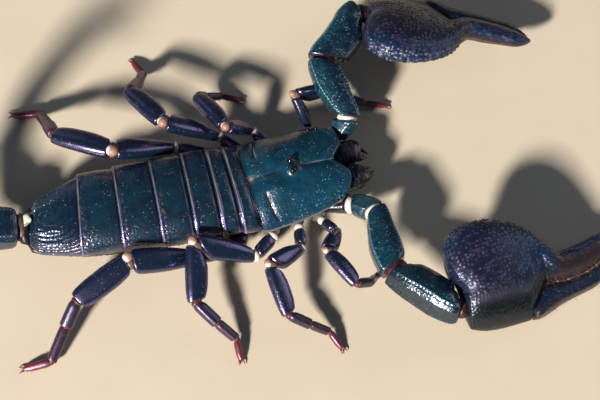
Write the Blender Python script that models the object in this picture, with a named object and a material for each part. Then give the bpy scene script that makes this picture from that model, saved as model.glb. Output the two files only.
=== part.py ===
"""Emperor scorpion, life size: a still model in a calm standing pose.

The animal faces +X with its left side towards +Y, and stands on the small flat
soles of its eight feet at z = 0.  Sizes below are in millimetres and become
metres where the meshes are made.  The plan is laid out round the line where the
carapace meets the first back plate; at the end one empty carries everything so
that the middle of the footprint comes to the origin.
"""

import math

import bmesh
import bpy
from mathutils import Matrix, Vector

MM = 0.001
GAP = 0.3                      # clearance between neighbouring shell pieces
SIDES = {"left": 1, "right": -1}
END = -0.001                   # station place that stands for the far, inset end of a limb piece

# --- Back line: x, y, yaw of each joint line from the carapace to the tail,
#     with the half width of the back, the height of its crest and of the belly.
BACK_LINES = (
    # x,     y,   yaw,  half width, crest, belly
    (0.0, 0.0, 5.5, 13.2, 15.0, 4.2),
    (-4.2, 0.5, 3.0, 13.3, 15.5, 4.0),
    (-9.2, 0.9, 1.0, 13.4, 16.0, 3.8),
    (-16.4, 1.0, 0.0, 13.2, 16.3, 3.6),
    (-25.6, 1.1, -1.0, 13.2, 16.4, 3.5),
    (-36.1, 1.4, -3.0, 12.8, 16.1, 3.6),
    (-46.9, 1.9, -7.0, 12.2, 15.2, 4.2),
    (-61.0, 0.9, -6.0, 7.2, 13.0, 6.4),
)
BACK_SIDES = 14                # facets across a back plate
FLANK_Z = 8.6                  # lower edge of the back plates
BELLY_START = 2                # joint line where the belly begins, behind the hind coxae
NECK = ((0.9, 5.0, 2.8), (2.8, 4.2, 2.5))   # soft neck: how far back, half width, half height
NECK_Z = 9.7                   # height of the neck's middle

# --- Carapace, in a frame of its own turned by its yaw about the first joint line.
CARAPACE_YAW = 5.5
PROSOMA_YAW = 7.0              # the coxae below it turn a little further
JAW_YAW = 3.5
CARAPACE_NOTCH = 25.0          # length along the middle, to the bottom of the notch
CARAPACE_LOBE = 3.4            # how far each front lobe passes the notch
CARAPACE_CORNER = 5.0          # how far the front corners fall back
CARAPACE_ALONG = 11
CARAPACE_ACROSS = 14
EYE_SPOT = Vector((13.0, 1.45, 16.4))
EYE_RADIUS = 1.0

JAW_RINGS = (
    # x,   y,   z, width, height
    (18.0, 2.2, 5.9, 2.6, 2.6),
    (20.0, 2.5, 6.1, 3.8, 3.8),
    (24.5, 3.2, 6.9, 5.8, 5.0),
    (28.5, 3.5, 7.5, 6.6, 5.8),
    (31.6, 3.5, 7.6, 6.2, 5.4),
    (34.0, 3.1, 7.2, 4.4, 4.2),
    (35.8, 2.3, 6.6, 1.8, 2.0),
)

PECTEN_JOINTS = ((-2.0, 1.2, 2.15), (-6.5, 7.0, 2.25), (-11.5, 11.5, 2.5))

# --- Tail: length, width, height and pitch of each piece; pitch 0 points straight back.
TAIL_ROOT = Vector((-64.0, 1.6, 9.8))
TAIL_YAW = -5.0
TAIL_RINGS = (
    # length, width, height, pitch
    (9.0, 11.8, 9.0, 12.0),
    (10.4, 10.2, 8.4, 26.0),
    (11.2, 9.6, 8.2, 46.0),
    (12.8, 8.8, 7.8, 74.0),
    (16.0, 7.8, 7.0, 108.0),
)
TELSON = (10.0, 7.4, 7.6, 200.0)
STING_LENGTH = 7.0
STING_CURL = 62.0              # how far the sting turns back towards its underside

# --- Legs: lengths of trochanter, femur, patella, tibia, basitarsus and tarsus,
#     and the breadth and thickness of the blade-like femur, for each pair.
LEG_LENGTHS = {
    1: (6.0, 10.3, 12.0, 5.8, 6.2, 6.4),
    2: (6.5, 12.0, 14.5, 6.6, 5.8, 5.8),
    3: (8.0, 17.8, 15.8, 8.0, 7.0, 6.0),
    4: (11.5, 19.5, 17.8, 7.8, 10.2, 8.0),
}
LEG_GIRTH = {1: (4.6, 3.2), 2: (5.2, 3.5), 3: (6.2, 3.8), 4: (6.8, 4.2)}
LEG_ROLL = 20.0                # the blades lean so that their front edge is the lower one
HIP = {1: (16.8, 13.2), 2: (10.2, 13.2), 3: (2.5, 13.4), 4: (-6.5, 14.5)}
HIP_SHIFT = -1.2               # the underside leans this far to the right
HIP_Z = 6.0
SOLE_Z = 0.5                   # height of the middle of a foot's tip
# Heading of each of the six lengths, anticlockwise from straight ahead, and the
# height of the joint at the end of each but the last.
LEG_POSE = {
    ("left", 1): ((21, 104, 19, -26, -22, -13), (6.2, 12.5, 6.2, 4.2, 2.0)),
    ("left", 2): ((119, 187, 113, 46, 10, -19), (5.8, 14.8, 10.5, 4.8, 1.6)),
    ("left", 3): ((129, 166, 119, 58, 68, 111), (7.0, 15.8, 12.0, 6.5, 2.0)),
    ("left", 4): ((158, 183, 148, 100, 105, 166), (7.6, 16.0, 13.5, 8.5, 1.8)),
    ("right", 1): ((-57, -119, -61, 16, 58, 33), (7.4, 13.0, 11.5, 7.6, 2.6)),
    ("right", 2): ((-98, -150, -81, -29, -26, -64), (6.6, 11.5, 7.2, 4.6, 2.3)),
    ("right", 3): ((-140, 168, -101, -51, -46, -90), (7.0, 14.4, 8.8, 5.6, 2.4)),
    ("right", 4): ((-177, -179, -156, -131, -127, 179), (7.2, 13.6, 10.4, 6.2, 2.2)),
}

# --- Palps: joints from the coxa to the wrist, then the pose of the claw hand.
PALP_JOINTS = {
    "left": (
        (17.0, 8.8, 5.4), (27.8, 11.9, 7.4), (32.2, 14.6, 11.0), (28.0, 32.8, 13.6), (42.8, 45.1, 13.9),
    ),
    "right": (
        (18.7, -6.8, 5.4), (27.0, -9.9, 7.4), (32.3, -14.9, 11.0), (33.6, -34.2, 12.6), (49.2, -48.6, 12.2),
    ),
}
PATELLA_LEAN = {"left": -0.7, "right": 0.0}   # how far the middle leans out
# Each arm piece: its finish, then rings of share of length, width, height and outward lean.
PALP_PIECES = (
    ("coxa", "navy_shell", (
        (0.0, 2.6, 2.6, 0.0), (0.16, 4.4, 3.8, 0.0), (0.7, 5.2, 4.6, 0.0), (0.88, 5.2, 5.0, 0.0),
        (1.0, 3.0, 3.6, 0.0),
    )),
    ("trochanter", "teal_shell", (
        (0.0, 3.0, 3.6, 0.0), (0.22, 5.6, 5.8, 0.0), (0.75, 6.2, 6.2, 0.0), (1.0, 3.0, 3.6, 0.0),
    )),
    ("femur", "teal_shell", (
        (0.0, 3.0, 3.6, 0.0), (0.10, 6.2, 6.2, 0.0), (0.35, 8.0, 7.4, 0.0), (0.7, 8.8, 8.0, 0.0),
        (0.90, 8.0, 7.2, 0.0), (1.0, 3.4, 4.0, 0.0),
    )),
    ("patella", "teal_shell", (
        (0.0, 3.4, 4.0, 0.0), (0.11, 7.4, 6.6, 0.0), (0.32, 10.0, 8.4, 0.0), (0.62, 10.2, 9.0, 0.5),
        (0.80, 8.8, 8.4, 1.1), (0.92, 6.8, 7.2, 1.4), (1.0, 3.4, 4.0, 0.2),
    )),
)
HAND_POSE = {"left": (-13.0, -10.6, 27.0), "right": (10.0, -8.0, 20.0)}   # heading, pitch, roll
# The hand lies along x from the wrist, with m measured towards its inner lobe.
LOBE_REACH = 21.4              # greatest m of the lobe, at LOBE_X
LOBE_X = 9.5
LOBE_BACK, LOBE_FRONT = 11.2, 20.9     # how far the lobe's curve runs back and forward of LOBE_X
LOBE_OVERHANG = 1.4            # how far the lobe bulges back past the wrist
OUTER_REACH = 9.4              # greatest m of the outer side, on the other side of the wrist
SOCKET_X, FORK_X = 18.2, 25.2  # where the outer side turns in, and where the fingers part
HAND_DEPTH = 13.0
# Fingers: x, inner m, outer m, depth, and how far they lie above the hand's plane.
FIXED_FINGER = (
    (28.3, 9.3, -0.5, 8.0, 0.6), (31.2, 6.5, -0.4, 6.4, 1.0), (35.5, 6.8, -0.1, 5.8, 0.5),
    (40.0, 7.3, 0.6, 5.4, 0.0), (44.5, 8.0, 2.6, 4.4, 0.0), (47.2, 7.1, 4.4, 2.6, 0.0),
    (48.9, 5.6, 4.8, 0.9, 0.0),
)
MOVABLE_FINGER = (
    (20.0, -8.5, -9.3, 3.0, -1.2), (21.4, -6.4, -9.3, 5.4, -1.8), (23.4, -3.8, -8.8, 6.4, -2.4),
    (25.6, -1.5, -8.2, 6.6, -2.6), (29.0, -1.3, -7.0, 6.4, -2.6), (34.0, -1.0, -6.0, 6.0, -2.5),
    (39.0, -0.1, -5.0, 5.4, -2.2), (43.0, 1.5, -3.0, 4.4, -1.6), (46.2, 3.2, 0.3, 2.8, -0.8),
    (48.2, 4.1, 3.2, 0.9, -0.4),
)
FINGER_HINGE = (20.0, -8.9)
FINGER_OPEN = {"left": 0.0, "right": 3.0}


# ---------------------------------------------------------------- materials

FINISHES = {
    # name: colour, roughness, metallic
    "teal_shell": ((0.010, 0.060, 0.090), 0.30, 0.0),
    "navy_shell": ((0.012, 0.020, 0.055), 0.28, 0.0),
    "hand_shell": ((0.030, 0.032, 0.062), 0.38, 0.0),
    "red_shell": ((0.100, 0.020, 0.012), 0.32, 0.0),
    "soft_membrane": ((0.230, 0.200, 0.160), 0.60, 0.0),
    "eye_lens": ((0.004, 0.004, 0.005), 0.06, 0.0),
}


def finish(name):
    """Return the named material, made on first use."""
    material = bpy.data.materials.get(name)
    if material is None:
        colour, roughness, metallic = FINISHES[name]
        material = bpy.data.materials.new(name)
        material.use_nodes = True
        shader = material.node_tree.nodes["Principled BSDF"]
        shader.inputs["Base Color"].default_value = (*colour, 1.0)
        shader.inputs["Roughness"].default_value = roughness
        shader.inputs["Metallic"].default_value = metallic
        material.diffuse_color = (*colour, 1.0)
    return material


# ---------------------------------------------------------------- mesh helpers

def power(value, exponent):
    """Raise the size of a value to a power and keep its sign."""
    return math.copysign(abs(value) ** exponent, value)


def oval(half_width, top, bottom, sides, squareness=2.4, start=0.5):
    """Return a closed section of (across, up) pairs.

    It is a superellipse whose upper and lower halves have their own heights.
    A start of 0.5 sets the first point half a step round, so that the section
    has a flat on top and underneath.
    """
    points = []
    for index in range(sides):
        angle = math.tau * (index + start) / sides
        across = half_width * power(math.cos(angle), 2.0 / squareness)
        reach = top if math.sin(angle) > 0 else bottom
        points.append((across, reach * power(math.sin(angle), 2.0 / squareness)))
    return points


def place(section, centre, across, up):
    """Put a section of (across, up) pairs into space."""
    return [centre + across * a + up * b for a, b in section]


def loft(rings):
    """Skin a row of rings with the same number of points and close both ends."""
    mesh = bmesh.new()
    loops = [[mesh.verts.new(point * MM) for point in ring] for ring in rings]
    for near, far in zip(loops, loops[1:]):
        for index, corner in enumerate(near):
            after = (index + 1) % len(near)
            mesh.faces.new((corner, near[after], far[after], far[index]))
    mesh.faces.new(loops[0])
    mesh.faces.new(loops[-1])
    bmesh.ops.recalc_face_normals(mesh, faces=mesh.faces)
    return mesh


def add_piece(name, mesh, material, parent, sharp_angle=40.0):
    """Turn a bmesh into a named, smooth-shaded object under its parent."""
    data = bpy.data.meshes.new(name)
    mesh.to_mesh(data)
    mesh.free()
    data.shade_smooth()
    data.set_sharp_from_angle(angle=math.radians(sharp_angle))
    data.materials.append(finish(material))
    piece = bpy.data.objects.new(name, data)
    bpy.data.collections["emperor_scorpion"].objects.link(piece)
    piece.parent = parent
    return piece


def add_empty(name, parent=None):
    """Add an empty that carries a group of pieces."""
    empty = bpy.data.objects.new(name, None)
    bpy.data.collections["emperor_scorpion"].objects.link(empty)
    empty.parent = parent
    return empty


# ---------------------------------------------------------------- limb sweeps

def upright(direction):
    """Return the across and up axes of a section that faces a direction."""
    across = Vector((0, 0, 1)).cross(direction).normalized()
    return across, direction.cross(across).normalized()


def joint_inset(before, after, half_width):
    """Return how far a flat end stops short of a bent joint.

    Two flat ends of this half width then just miss each other by the gap.
    """
    half_bend = before.angle(after) / 2
    return half_width * math.tan(half_bend) + GAP / 2 / math.cos(half_bend)


def sweep(joints, stations, insets=(GAP / 2, GAP / 2), roll=0.0, squareness=2.4, sides=10):
    """Loft a limb along a bent row of joints.

    Each station is (length number, place along it in mm from its start if
    positive or from its end if negative, width, height, lift); at a joint that
    the limb bends through, the ring stands on the half angle.  Roll turns every
    section about the limb.
    """
    turned, tilted = math.cos(math.radians(roll)), math.sin(math.radians(roll))
    lengths = [b - a for a, b in zip(joints, joints[1:])]
    rings = []
    for number, along, width, height, lift in stations:
        length = lengths[number]
        direction = length.normalized()
        distance = along if along >= 0 else length.length + along
        if number == 0 and along == 0:
            distance = insets[0]
        if along == END:
            distance = length.length - insets[1]
        across, up = upright(direction)
        stretch = 1.0
        if along == 0 and number > 0:
            before = lengths[number - 1].normalized()
            middle = (before + direction).normalized()
            stretch = 1.0 / max(0.5, middle.dot(direction))
            across, up = upright(middle)
        centre = joints[number] + direction * distance + up * lift
        section = [(stretch * (a * turned - b * tilted), a * tilted + b * turned)
                   for a, b in oval(width / 2, height / 2, height / 2, sides, squareness)]
        rings.append(place(section, centre, across, up))
    return rings


def heading_chain(start, lengths, headings, heights):
    """Walk a limb from its start: each length has a heading and an end height."""
    joints = [Vector(start)]
    for length, heading, height in zip(lengths, headings, heights):
        here = joints[-1]
        drop = height - here.z
        run = math.sqrt(max(length * length - drop * drop, 0.2 * length * length))
        angle = math.radians(heading)
        joints.append(Vector((here.x + run * math.cos(angle), here.y + run * math.sin(angle), height)))
    return joints


# ---------------------------------------------------------------- carapace and eyes

def carapace_half_width(x):
    """Half width of the carapace at a distance from its rear edge."""
    return 13.9 - 0.0047 * (x - 3.0) ** 2 - 0.6 * math.exp(-((x / 1.3) ** 2))


def carapace_front(t):
    """Distance of the front margin from the rear edge, for t from -1 to 1 across."""
    lobe = math.sin(math.pi / 2 * min(abs(t) / 0.5, 1.0)) ** 1.5
    return CARAPACE_NOTCH + CARAPACE_LOBE * lobe - CARAPACE_CORNER * abs(t) ** 5


def carapace_top(x, y, t):
    """Height of the carapace: a dome with a middle furrow, rear creases and the eye mound."""
    forward = max(x - 14.0, 0.0) / 14.0
    margin = 8.6 + 3.0 * forward ** 1.5
    crest = 15.2 + 0.5 * math.sin(math.pi * min(x / 20.0, 1.0)) - 2.4 * forward ** 2
    height = margin + (crest - margin) * (1.0 - abs(t) ** 2.6) ** 0.8
    height -= 0.7 * math.exp(-((y / 1.2) ** 2))
    crease = abs(y) - 4.0 - 1.1 * x
    height -= 0.6 * math.exp(-((crease / 1.3) ** 2)) * (1.0 if x < 8.0 and abs(t) < 0.95 else 0.0)
    mound = math.exp(-(((x - EYE_SPOT.x) / 2.3) ** 2) - ((y / 1.9) ** 2))
    return height + 1.9 * mound


def carapace_under(x):
    """Height of the flat underside, which rises towards the mouth."""
    return 8.05 + 2.9 * (max(x - 15.0, 0.0) / 13.0) ** 1.3


def add_carapace(parent):
    """Build the head shield and its two middle eyes."""
    turn = Matrix.Rotation(math.radians(CARAPACE_YAW), 3, "Z")
    across = [math.sin(math.pi / 2 * (2 * i / CARAPACE_ACROSS - 1)) for i in range(CARAPACE_ACROSS + 1)]
    rings = []
    for step in range(CARAPACE_ALONG + 1):
        s = step / CARAPACE_ALONG
        upper, lower = [], []
        for t in across:
            x = GAP / 2 + s * (carapace_front(t) - GAP / 2)
            y = t * carapace_half_width(x)
            under = carapace_under(x)
            upper.append(turn @ Vector((x, y, max(carapace_top(x, y, t), under + 0.5))))
            lower.append(turn @ Vector((x, y * 0.985, under)))
        rings.append(upper + lower[::-1])
    shield = add_piece("carapace", loft(rings), "teal_shell", parent)

    for side, sign in SIDES.items():
        spot = turn @ Vector((EYE_SPOT.x, sign * EYE_SPOT.y, EYE_SPOT.z))
        eye = add_ball(f"eye_{side}", spot, EYE_RADIUS, parent)
        eye.data.materials.append(finish("eye_lens"))
        socket = add_ball(f"eye_socket_{side}", spot, EYE_RADIUS + GAP, parent)
        cut_away(shield, socket)


def add_ball(name, centre, radius, parent):
    """Add a small sphere of ten by seven faces, round a centre in mm."""
    mesh = bmesh.new()
    bmesh.ops.create_uvsphere(mesh, u_segments=10, v_segments=7, radius=radius * MM)
    data = bpy.data.meshes.new(name)
    mesh.to_mesh(data)
    mesh.free()
    data.shade_smooth()
    ball = bpy.data.objects.new(name, data)
    bpy.data.collections["emperor_scorpion"].objects.link(ball)
    ball.parent = parent
    ball.location = centre * MM
    return ball


def cut_away(piece, cutter):
    """Cut one object out of another, and keep the cutter out of sight."""
    bpy.data.collections["emperor_scorpion"].objects.unlink(cutter)
    bpy.data.collections["scorpion_cutters"].objects.link(cutter)
    cutter.hide_render = True
    cutter.display_type = "WIRE"
    boolean = piece.modifiers.new("cut", "BOOLEAN")
    boolean.operation = "DIFFERENCE"
    boolean.object = cutter


# ---------------------------------------------------------------- underside of the head

def add_prosoma_base(parent):
    """Build the coxae and sternum as one low block with a swelling at each hip."""
    stations = [-8.8, -7.2, -3.0, 0.5, 3.4, 7.0, 11.2, 14.4, 16.6]
    turn = Matrix.Rotation(math.radians(PROSOMA_YAW), 3, "Z")
    rings = []
    for x in stations:
        nearest = min(abs(x - hip[0]) for hip in HIP.values())
        half_width = 11.9 - 1.6 * min(nearest / 3.5, 1.0) - 0.06 * max(x, 0.0)
        depth = 3.9 - 0.5 * abs(x - 4.0) / 12.0
        section = oval(half_width, 0.9, depth, 14, 2.8)
        swing = turn if x > 0 else Matrix.Identity(3)
        rings.append([swing @ Vector((x, a, 6.85 + b)) for a, b in section])
    add_piece("prosoma_base", loft(rings), "navy_shell", parent)


def add_chelicerae(parent):
    """Build the two jaws that show below the notch of the carapace."""
    turn = Matrix.Rotation(math.radians(JAW_YAW), 3, "Z")
    for side, sign in SIDES.items():
        rings = []
        for x, y, z, width, height in JAW_RINGS:
            section = oval(width / 2, height / 2, height / 2, 10, 2.6)
            rings.append([turn @ Vector((x, sign * y + a, z + b)) for a, b in section])
        add_piece(f"chelicera_{side}", loft(rings), "navy_shell", parent)


def add_pectines(parent):
    """Build the two combs that sweep out and back below the hind coxae."""
    for side, sign in SIDES.items():
        joints = [Vector((x, sign * y, z)) for x, y, z in PECTEN_JOINTS]
        stations = ((0, 0, 1.8, 1.3, 0), (0, 3.0, 3.6, 1.5, 0), (1, 0, 4.0, 1.5, 0), (1, 4.0, 3.4, 1.3, 0),
                    (1, END, 1.2, 0.8, 0))
        add_piece(f"pecten_{side}", loft(sweep(joints, stations)), "red_shell", parent)


# ---------------------------------------------------------------- back plates and belly

def back_ring(line, shift, rise, widen, upper):
    """Return one ring of the back or the belly at a joint line.

    Shift moves it along the body, rise lifts the crest, widen adds to its half
    width; the upper ring arches over the flank, the lower one hangs below it.
    """
    x, y, yaw, half_width, crest, belly = line
    turn = Matrix.Rotation(math.radians(yaw), 3, "Z")
    ring = []
    for index in range(BACK_SIDES + 1):
        angle = math.pi * index / BACK_SIDES
        across = power(math.cos(angle), 2.0 / 2.5)
        lift = math.sin(angle) ** (2.0 / 2.5) if 0 < index < BACK_SIDES else 0.0
        if upper:
            up = FLANK_Z + (crest + rise - FLANK_Z) * lift
        else:
            up = FLANK_Z - GAP - (FLANK_Z - GAP - belly - rise) * lift
        offset = turn @ Vector((shift, (half_width + widen) * across, 0.0))
        ring.append(Vector((x + offset.x, y + offset.y, up)))
    return ring


def neck_ring(back, half_width, half_height):
    """Return one ring of the soft neck, with its points in the order of a belly ring."""
    x, y, yaw = BACK_LINES[-1][:3]
    turn = Matrix.Rotation(math.radians(yaw), 3, "Z")
    ring = []
    for index in range(BACK_SIDES + 1):
        angle = math.radians(70.0 - 320.0 * index / BACK_SIDES)
        offset = turn @ Vector((-back, half_width * math.cos(angle), 0.0))
        ring.append(Vector((x + offset.x, y + offset.y, NECK_Z + half_height * math.sin(angle))))
    return ring


def between(first, second, share):
    """Blend two joint lines."""
    return tuple(a + (b - a) * share for a, b in zip(first, second))


def add_tergites(parent):
    """Build the seven back plates, each tucked low in front and lipped behind."""
    for number, (front, rear) in enumerate(zip(BACK_LINES, BACK_LINES[1:]), start=1):
        rings = [
            back_ring(front, -GAP / 2, -0.7, -0.5, True),
            back_ring(between(front, rear, 0.14), 0.0, -0.55, -0.3, True),
            back_ring(between(front, rear, 0.5), 0.0, -0.15, 0.0, True),
            back_ring(between(front, rear, 0.88), 0.0, 0.0, 0.1, True),
            back_ring(rear, GAP / 2, -0.15, 0.0, True),
        ]
        add_piece(f"tergite_{number}", loft(rings), "teal_shell", parent)


def add_belly(parent):
    """Build the belly below the back plates, from the hind coxae to the tail."""
    lines = BACK_LINES[BELLY_START:]
    rings = [back_ring(lines[0], -0.4, 0.5, -2.3, False)]
    for front, rear in zip(lines, lines[1:]):
        tuck = -1.8 if front is lines[0] else -0.6         # leaves room for the hind legs
        rings.append(back_ring(between(front, rear, 0.25), 0.0, 0.0, tuck, False))
        rings.append(back_ring(between(front, rear, 0.75), 0.0, 0.0, -0.5, False))
    rings.append(back_ring(lines[-1], -0.25, 0.3, -0.9, False))
    rings += [neck_ring(*size) for size in NECK]
    add_piece("belly", loft(rings), "soft_membrane", parent)


# ---------------------------------------------------------------- tail

def tail_axes(pitch):
    """Return the directions along, across and above a tail piece."""
    turn = Matrix.Rotation(math.radians(TAIL_YAW), 3, "Z")
    angle = math.radians(pitch)
    along = turn @ Vector((-math.cos(angle), 0.0, math.sin(angle)))
    above = turn @ Vector((math.sin(angle), 0.0, math.cos(angle)))
    return along, above.cross(along), above


def tail_section(width, height, furrow):
    """Return a keeled section: a squared oval with a furrow along its top."""
    section = []
    for across, up in oval(width / 2, height / 2, height / 2, 14, 2.9, start=0.5):
        if up > 0:
            up -= furrow * math.exp(-((across / (0.24 * width)) ** 2))
        section.append((across, up))
    return section


def add_tail(parent):
    """Build the five tail rings, the venom bulb and the sting, arched up behind the body."""
    root = TAIL_ROOT.copy()
    pitches = [ring[3] for ring in TAIL_RINGS] + [TELSON[3]]
    before = 0.0
    for number, (length, width, height, pitch) in enumerate(TAIL_RINGS):
        along, across, above = tail_axes(pitch)
        bend_in = math.radians(pitch - before) / 2
        bend_out = math.radians(pitches[number + 1] - pitch) / 2
        front = 0.36 * height * math.tan(bend_in) + GAP / 2 / math.cos(bend_in)
        rear = 0.36 * height * math.tan(bend_out) + GAP / 2 / math.cos(bend_out)
        rings = []
        for place_along, wide, high in (
            (front, 0.62, 0.70),
            (front + 0.9, 0.84, 0.86),
            (length * 0.35, 0.93, 0.96),
            (length * 0.65, 0.97, 1.0),
            (length - rear - 1.1, 1.0, 0.98),
            (length - rear, 0.74, 0.72),
        ):
            section = tail_section(width * wide, height * high, 0.55 * high)
            rings.append(place(section, root + along * place_along, across, above))
        add_piece(f"metasoma_{number + 1}", loft(rings), "teal_shell", parent)
        root = root + along * length
        before = pitch
    add_telson(root, before, parent)


def add_telson(root, before, parent):
    """Build the bulb and the curved sting that tapers from it."""
    length, width, height, pitch = TELSON
    along, across, above = tail_axes(pitch)
    neck = 1.5 * math.tan(math.radians(pitch - before) / 2) + GAP
    rings = []
    for share, wide, high, drop in (
        (0.0, 0.38, 0.36, 0.0),
        (0.14, 0.72, 0.66, -0.05),
        (0.34, 1.0, 0.94, -0.12),
        (0.58, 0.98, 1.0, -0.12),
        (0.80, 0.72, 0.78, -0.08),
        (1.0, 0.34, 0.40, -0.04),
    ):
        centre = root + along * (neck + (length - neck) * share) + above * (drop * height)
        section = oval(width / 2 * wide, height / 2 * high, height / 2 * high, 12, 2.1)
        rings.append(place(section, centre, across, above))
    add_piece("telson", loft(rings), "red_shell", parent)

    rings = []
    point = root + along * (length + GAP) + above * (-0.04 * height)
    steps = 7
    for step in range(steps + 1):
        share = step / steps
        along, across, above = tail_axes(pitch - STING_CURL * share ** 1.3)
        radius = 1.25 * (1.0 - share) ** 0.9 + 0.28
        rings.append(place(oval(radius, radius, radius, 8, 2.0), point, across, above))
        point = point + along * (STING_LENGTH / steps)
    add_piece("sting", loft(rings), "red_shell", parent)


# ---------------------------------------------------------------- legs

def leg_joints(side, pair):
    """Return the seven joints of one leg, from its hip to its tip."""
    headings, heights = LEG_POSE[(side, pair)]
    x, y = HIP[pair]
    hip = Vector((x, SIDES[side] * y + HIP_SHIFT, HIP_Z))
    if x > 0:
        hip = Matrix.Rotation(math.radians(PROSOMA_YAW), 3, "Z") @ hip
    return heading_chain(hip, LEG_LENGTHS[pair], headings, (*heights, SOLE_Z))


def add_leg(side, pair, parent):
    """Build one leg as three pieces: femur with trochanter, patella, and foot."""
    joints = leg_joints(side, pair)
    ways = [(b - a).normalized() for a, b in zip(joints, joints[1:])]
    broad, thin = LEG_GIRTH[pair]
    femur, patella, tibia, basitarsus, tarsus = LEG_LENGTHS[pair][1:]
    roll = LEG_ROLL * SIDES[side]
    holder = add_empty(f"leg_{side}_{pair}", parent)

    knee = joint_inset(ways[1], ways[2], 0.20 * broad)
    rings = sweep(joints[0:3], (
        (0, 0, 0.42 * broad, 0.55 * thin, 0.0),
        (0, 1.4, 0.60 * broad, 0.84 * thin, 0.0),
        (1, 0, 0.60 * broad, 0.90 * thin, 0.0),
        (1, 2.4, 0.78 * broad, 0.96 * thin, 0.0),
        (1, 0.55 * femur, 1.0 * broad, 1.0 * thin, 0.0),
        (1, -knee - 1.6, 0.92 * broad, 0.96 * thin, 0.0),
        (1, END, 0.40 * broad, 0.70 * thin, 0.0),
    ), insets=(0.3, knee), roll=roll)
    add_piece(f"leg_{side}_{pair}_femur", loft(rings), "navy_shell", holder)

    ankle = joint_inset(ways[2], ways[3], 0.22 * broad)
    rings = sweep(joints[2:4], (
        (0, 0, 0.40 * broad, 0.70 * thin, 0.0),
        (0, knee + 1.6, 0.88 * broad, 0.96 * thin, 0.0),
        (0, 0.5 * patella, 1.0 * broad, 1.0 * thin, 0.0),
        (0, -ankle - 1.6, 0.76 * broad, 0.88 * thin, 0.0),
        (0, END, 0.44 * broad, 0.66 * thin, 0.0),
    ), insets=(knee, ankle), roll=roll)
    add_piece(f"leg_{side}_{pair}_patella", loft(rings), "navy_shell", holder)

    rings = sweep(joints[3:7], (
        (0, 0, 0.44 * broad, 0.66 * thin, 0.0),
        (0, ankle + 1.3, 0.58 * broad, 0.80 * thin, 0.0),
        (0, 0.75 * tibia, 0.56 * broad, 0.80 * thin, 0.0),
        (1, 0, 0.42 * broad, 0.66 * thin, 0.0),
        (1, 1.7, 0.45 * broad, 0.68 * thin, 0.0),
        (1, 0.75 * basitarsus, 0.44 * broad, 0.66 * thin, 0.0),
        (2, 0, 0.32 * broad, 0.50 * thin, 0.0),
        (2, 0.35 * tarsus, 0.36 * broad, 0.50 * thin, 0.0),
        (2, -1.8, 0.34 * broad, 0.50 * thin, -0.1),
        (2, -0.7, 0.28 * broad, 0.44 * thin, -0.2),
        (2, END, 0.16 * broad, 0.30 * thin, -0.3),
    ), insets=(ankle, 0.0), sides=8)
    for ring in rings:
        for point in ring:
            point.z = max(point.z, 0.0)                    # the sole is a small flat
    add_piece(f"leg_{side}_{pair}_foot", loft(rings), "red_shell", holder)


# ---------------------------------------------------------------- palps and claw hands

def add_palp_arm(side, parent):
    """Build the coxa, trochanter, femur and patella of one palp."""
    joints = [Vector(point) for point in PALP_JOINTS[side]]
    ways = [(b - a).normalized() for a, b in zip(joints, joints[1:])]
    hand_way, _, _ = hand_axes(side)
    ways.append(hand_way)
    start = GAP / 2
    for number, (name, material, girths) in enumerate(PALP_PIECES):
        joint, way = joints[number], ways[number]
        length = (joints[number + 1] - joint).length
        end = joint_inset(way, ways[number + 1], girths[-1][1] / 2)
        across, up = upright(way)
        rings = []
        for share, width, height, outward in girths:
            centre = joint + way * (start + (length - start - end) * share)
            if name == "patella" and 0.2 < share < 0.7:
                outward += PATELLA_LEAN[side]
            centre += across * (outward * SIDES[side])
            rings.append(place(oval(width / 2, height / 2, height / 2, 12, 2.7), centre, across, up))
        add_piece(f"palp_{side}_{name}", loft(rings), material, parent)
        start = end


def hand_axes(side):
    """Return the directions along a hand, towards its inner lobe, and out of its back."""
    heading, pitch, roll = (math.radians(angle) for angle in HAND_POSE[side])
    level = math.cos(pitch)
    along = Vector((level * math.cos(heading), level * math.sin(heading), math.sin(pitch)))
    left, up = upright(along)
    inward = left * -SIDES[side]
    lobe = inward * math.cos(roll) + up * math.sin(roll)
    back = up * math.cos(roll) - inward * math.sin(roll)
    return along, lobe, back


def hand_section(inner, outer, depth, lift=0.0):
    """Return a section of the hand between its inner rim and its outer edge.

    The back rises from the rim to the keel above the fingers, the outer face
    falls from that keel to the lower edge, and the underside tapers to the rim.
    """
    width = inner - outer
    half = 0.50 * depth
    corners = (
        (1.0, -0.04), (0.965, 0.50), (0.85, 0.84), (0.60, 1.0), (0.30, 0.92), (0.14, 0.55),
        (0.02, -0.15), (0.05, -0.60), (0.22, -0.92), (0.48, -1.0), (0.75, -0.72), (0.92, -0.30),
    )
    return [(outer + share * width, lift + height * half) for share, height in corners]


def hand_inner(x):
    """Reach of the lobe's rim: a flattened curve behind LOBE_X and an ellipse in front of it."""
    if x < LOBE_X:
        return LOBE_REACH * math.sqrt(max(1.0 - ((LOBE_X - x) / LOBE_BACK) ** 3, 0.0))
    return LOBE_REACH * math.sqrt(max(1.0 - ((x - LOBE_X) / LOBE_FRONT) ** 2, 0.0))


def hand_outer(x):
    """Reach of the outer side, which turns in to the fork beyond the finger's socket."""
    side = -OUTER_REACH * (1.0 - 0.42 * math.exp(-x / 4.0))
    inward = max(x - SOCKET_X, 0.0) / (FORK_X - SOCKET_X)
    return side + (OUTER_REACH - 0.6) * inward ** 1.15


def hand_depth(x):
    """Depth of the hand: thin at the wrist, fullest in the middle, lower at the fingers."""
    return HAND_DEPTH * min(1.0, 0.46 + 0.09 * x) * (1.0 - 0.42 * max(x - 14.0, 0.0) / 14.5)


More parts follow.
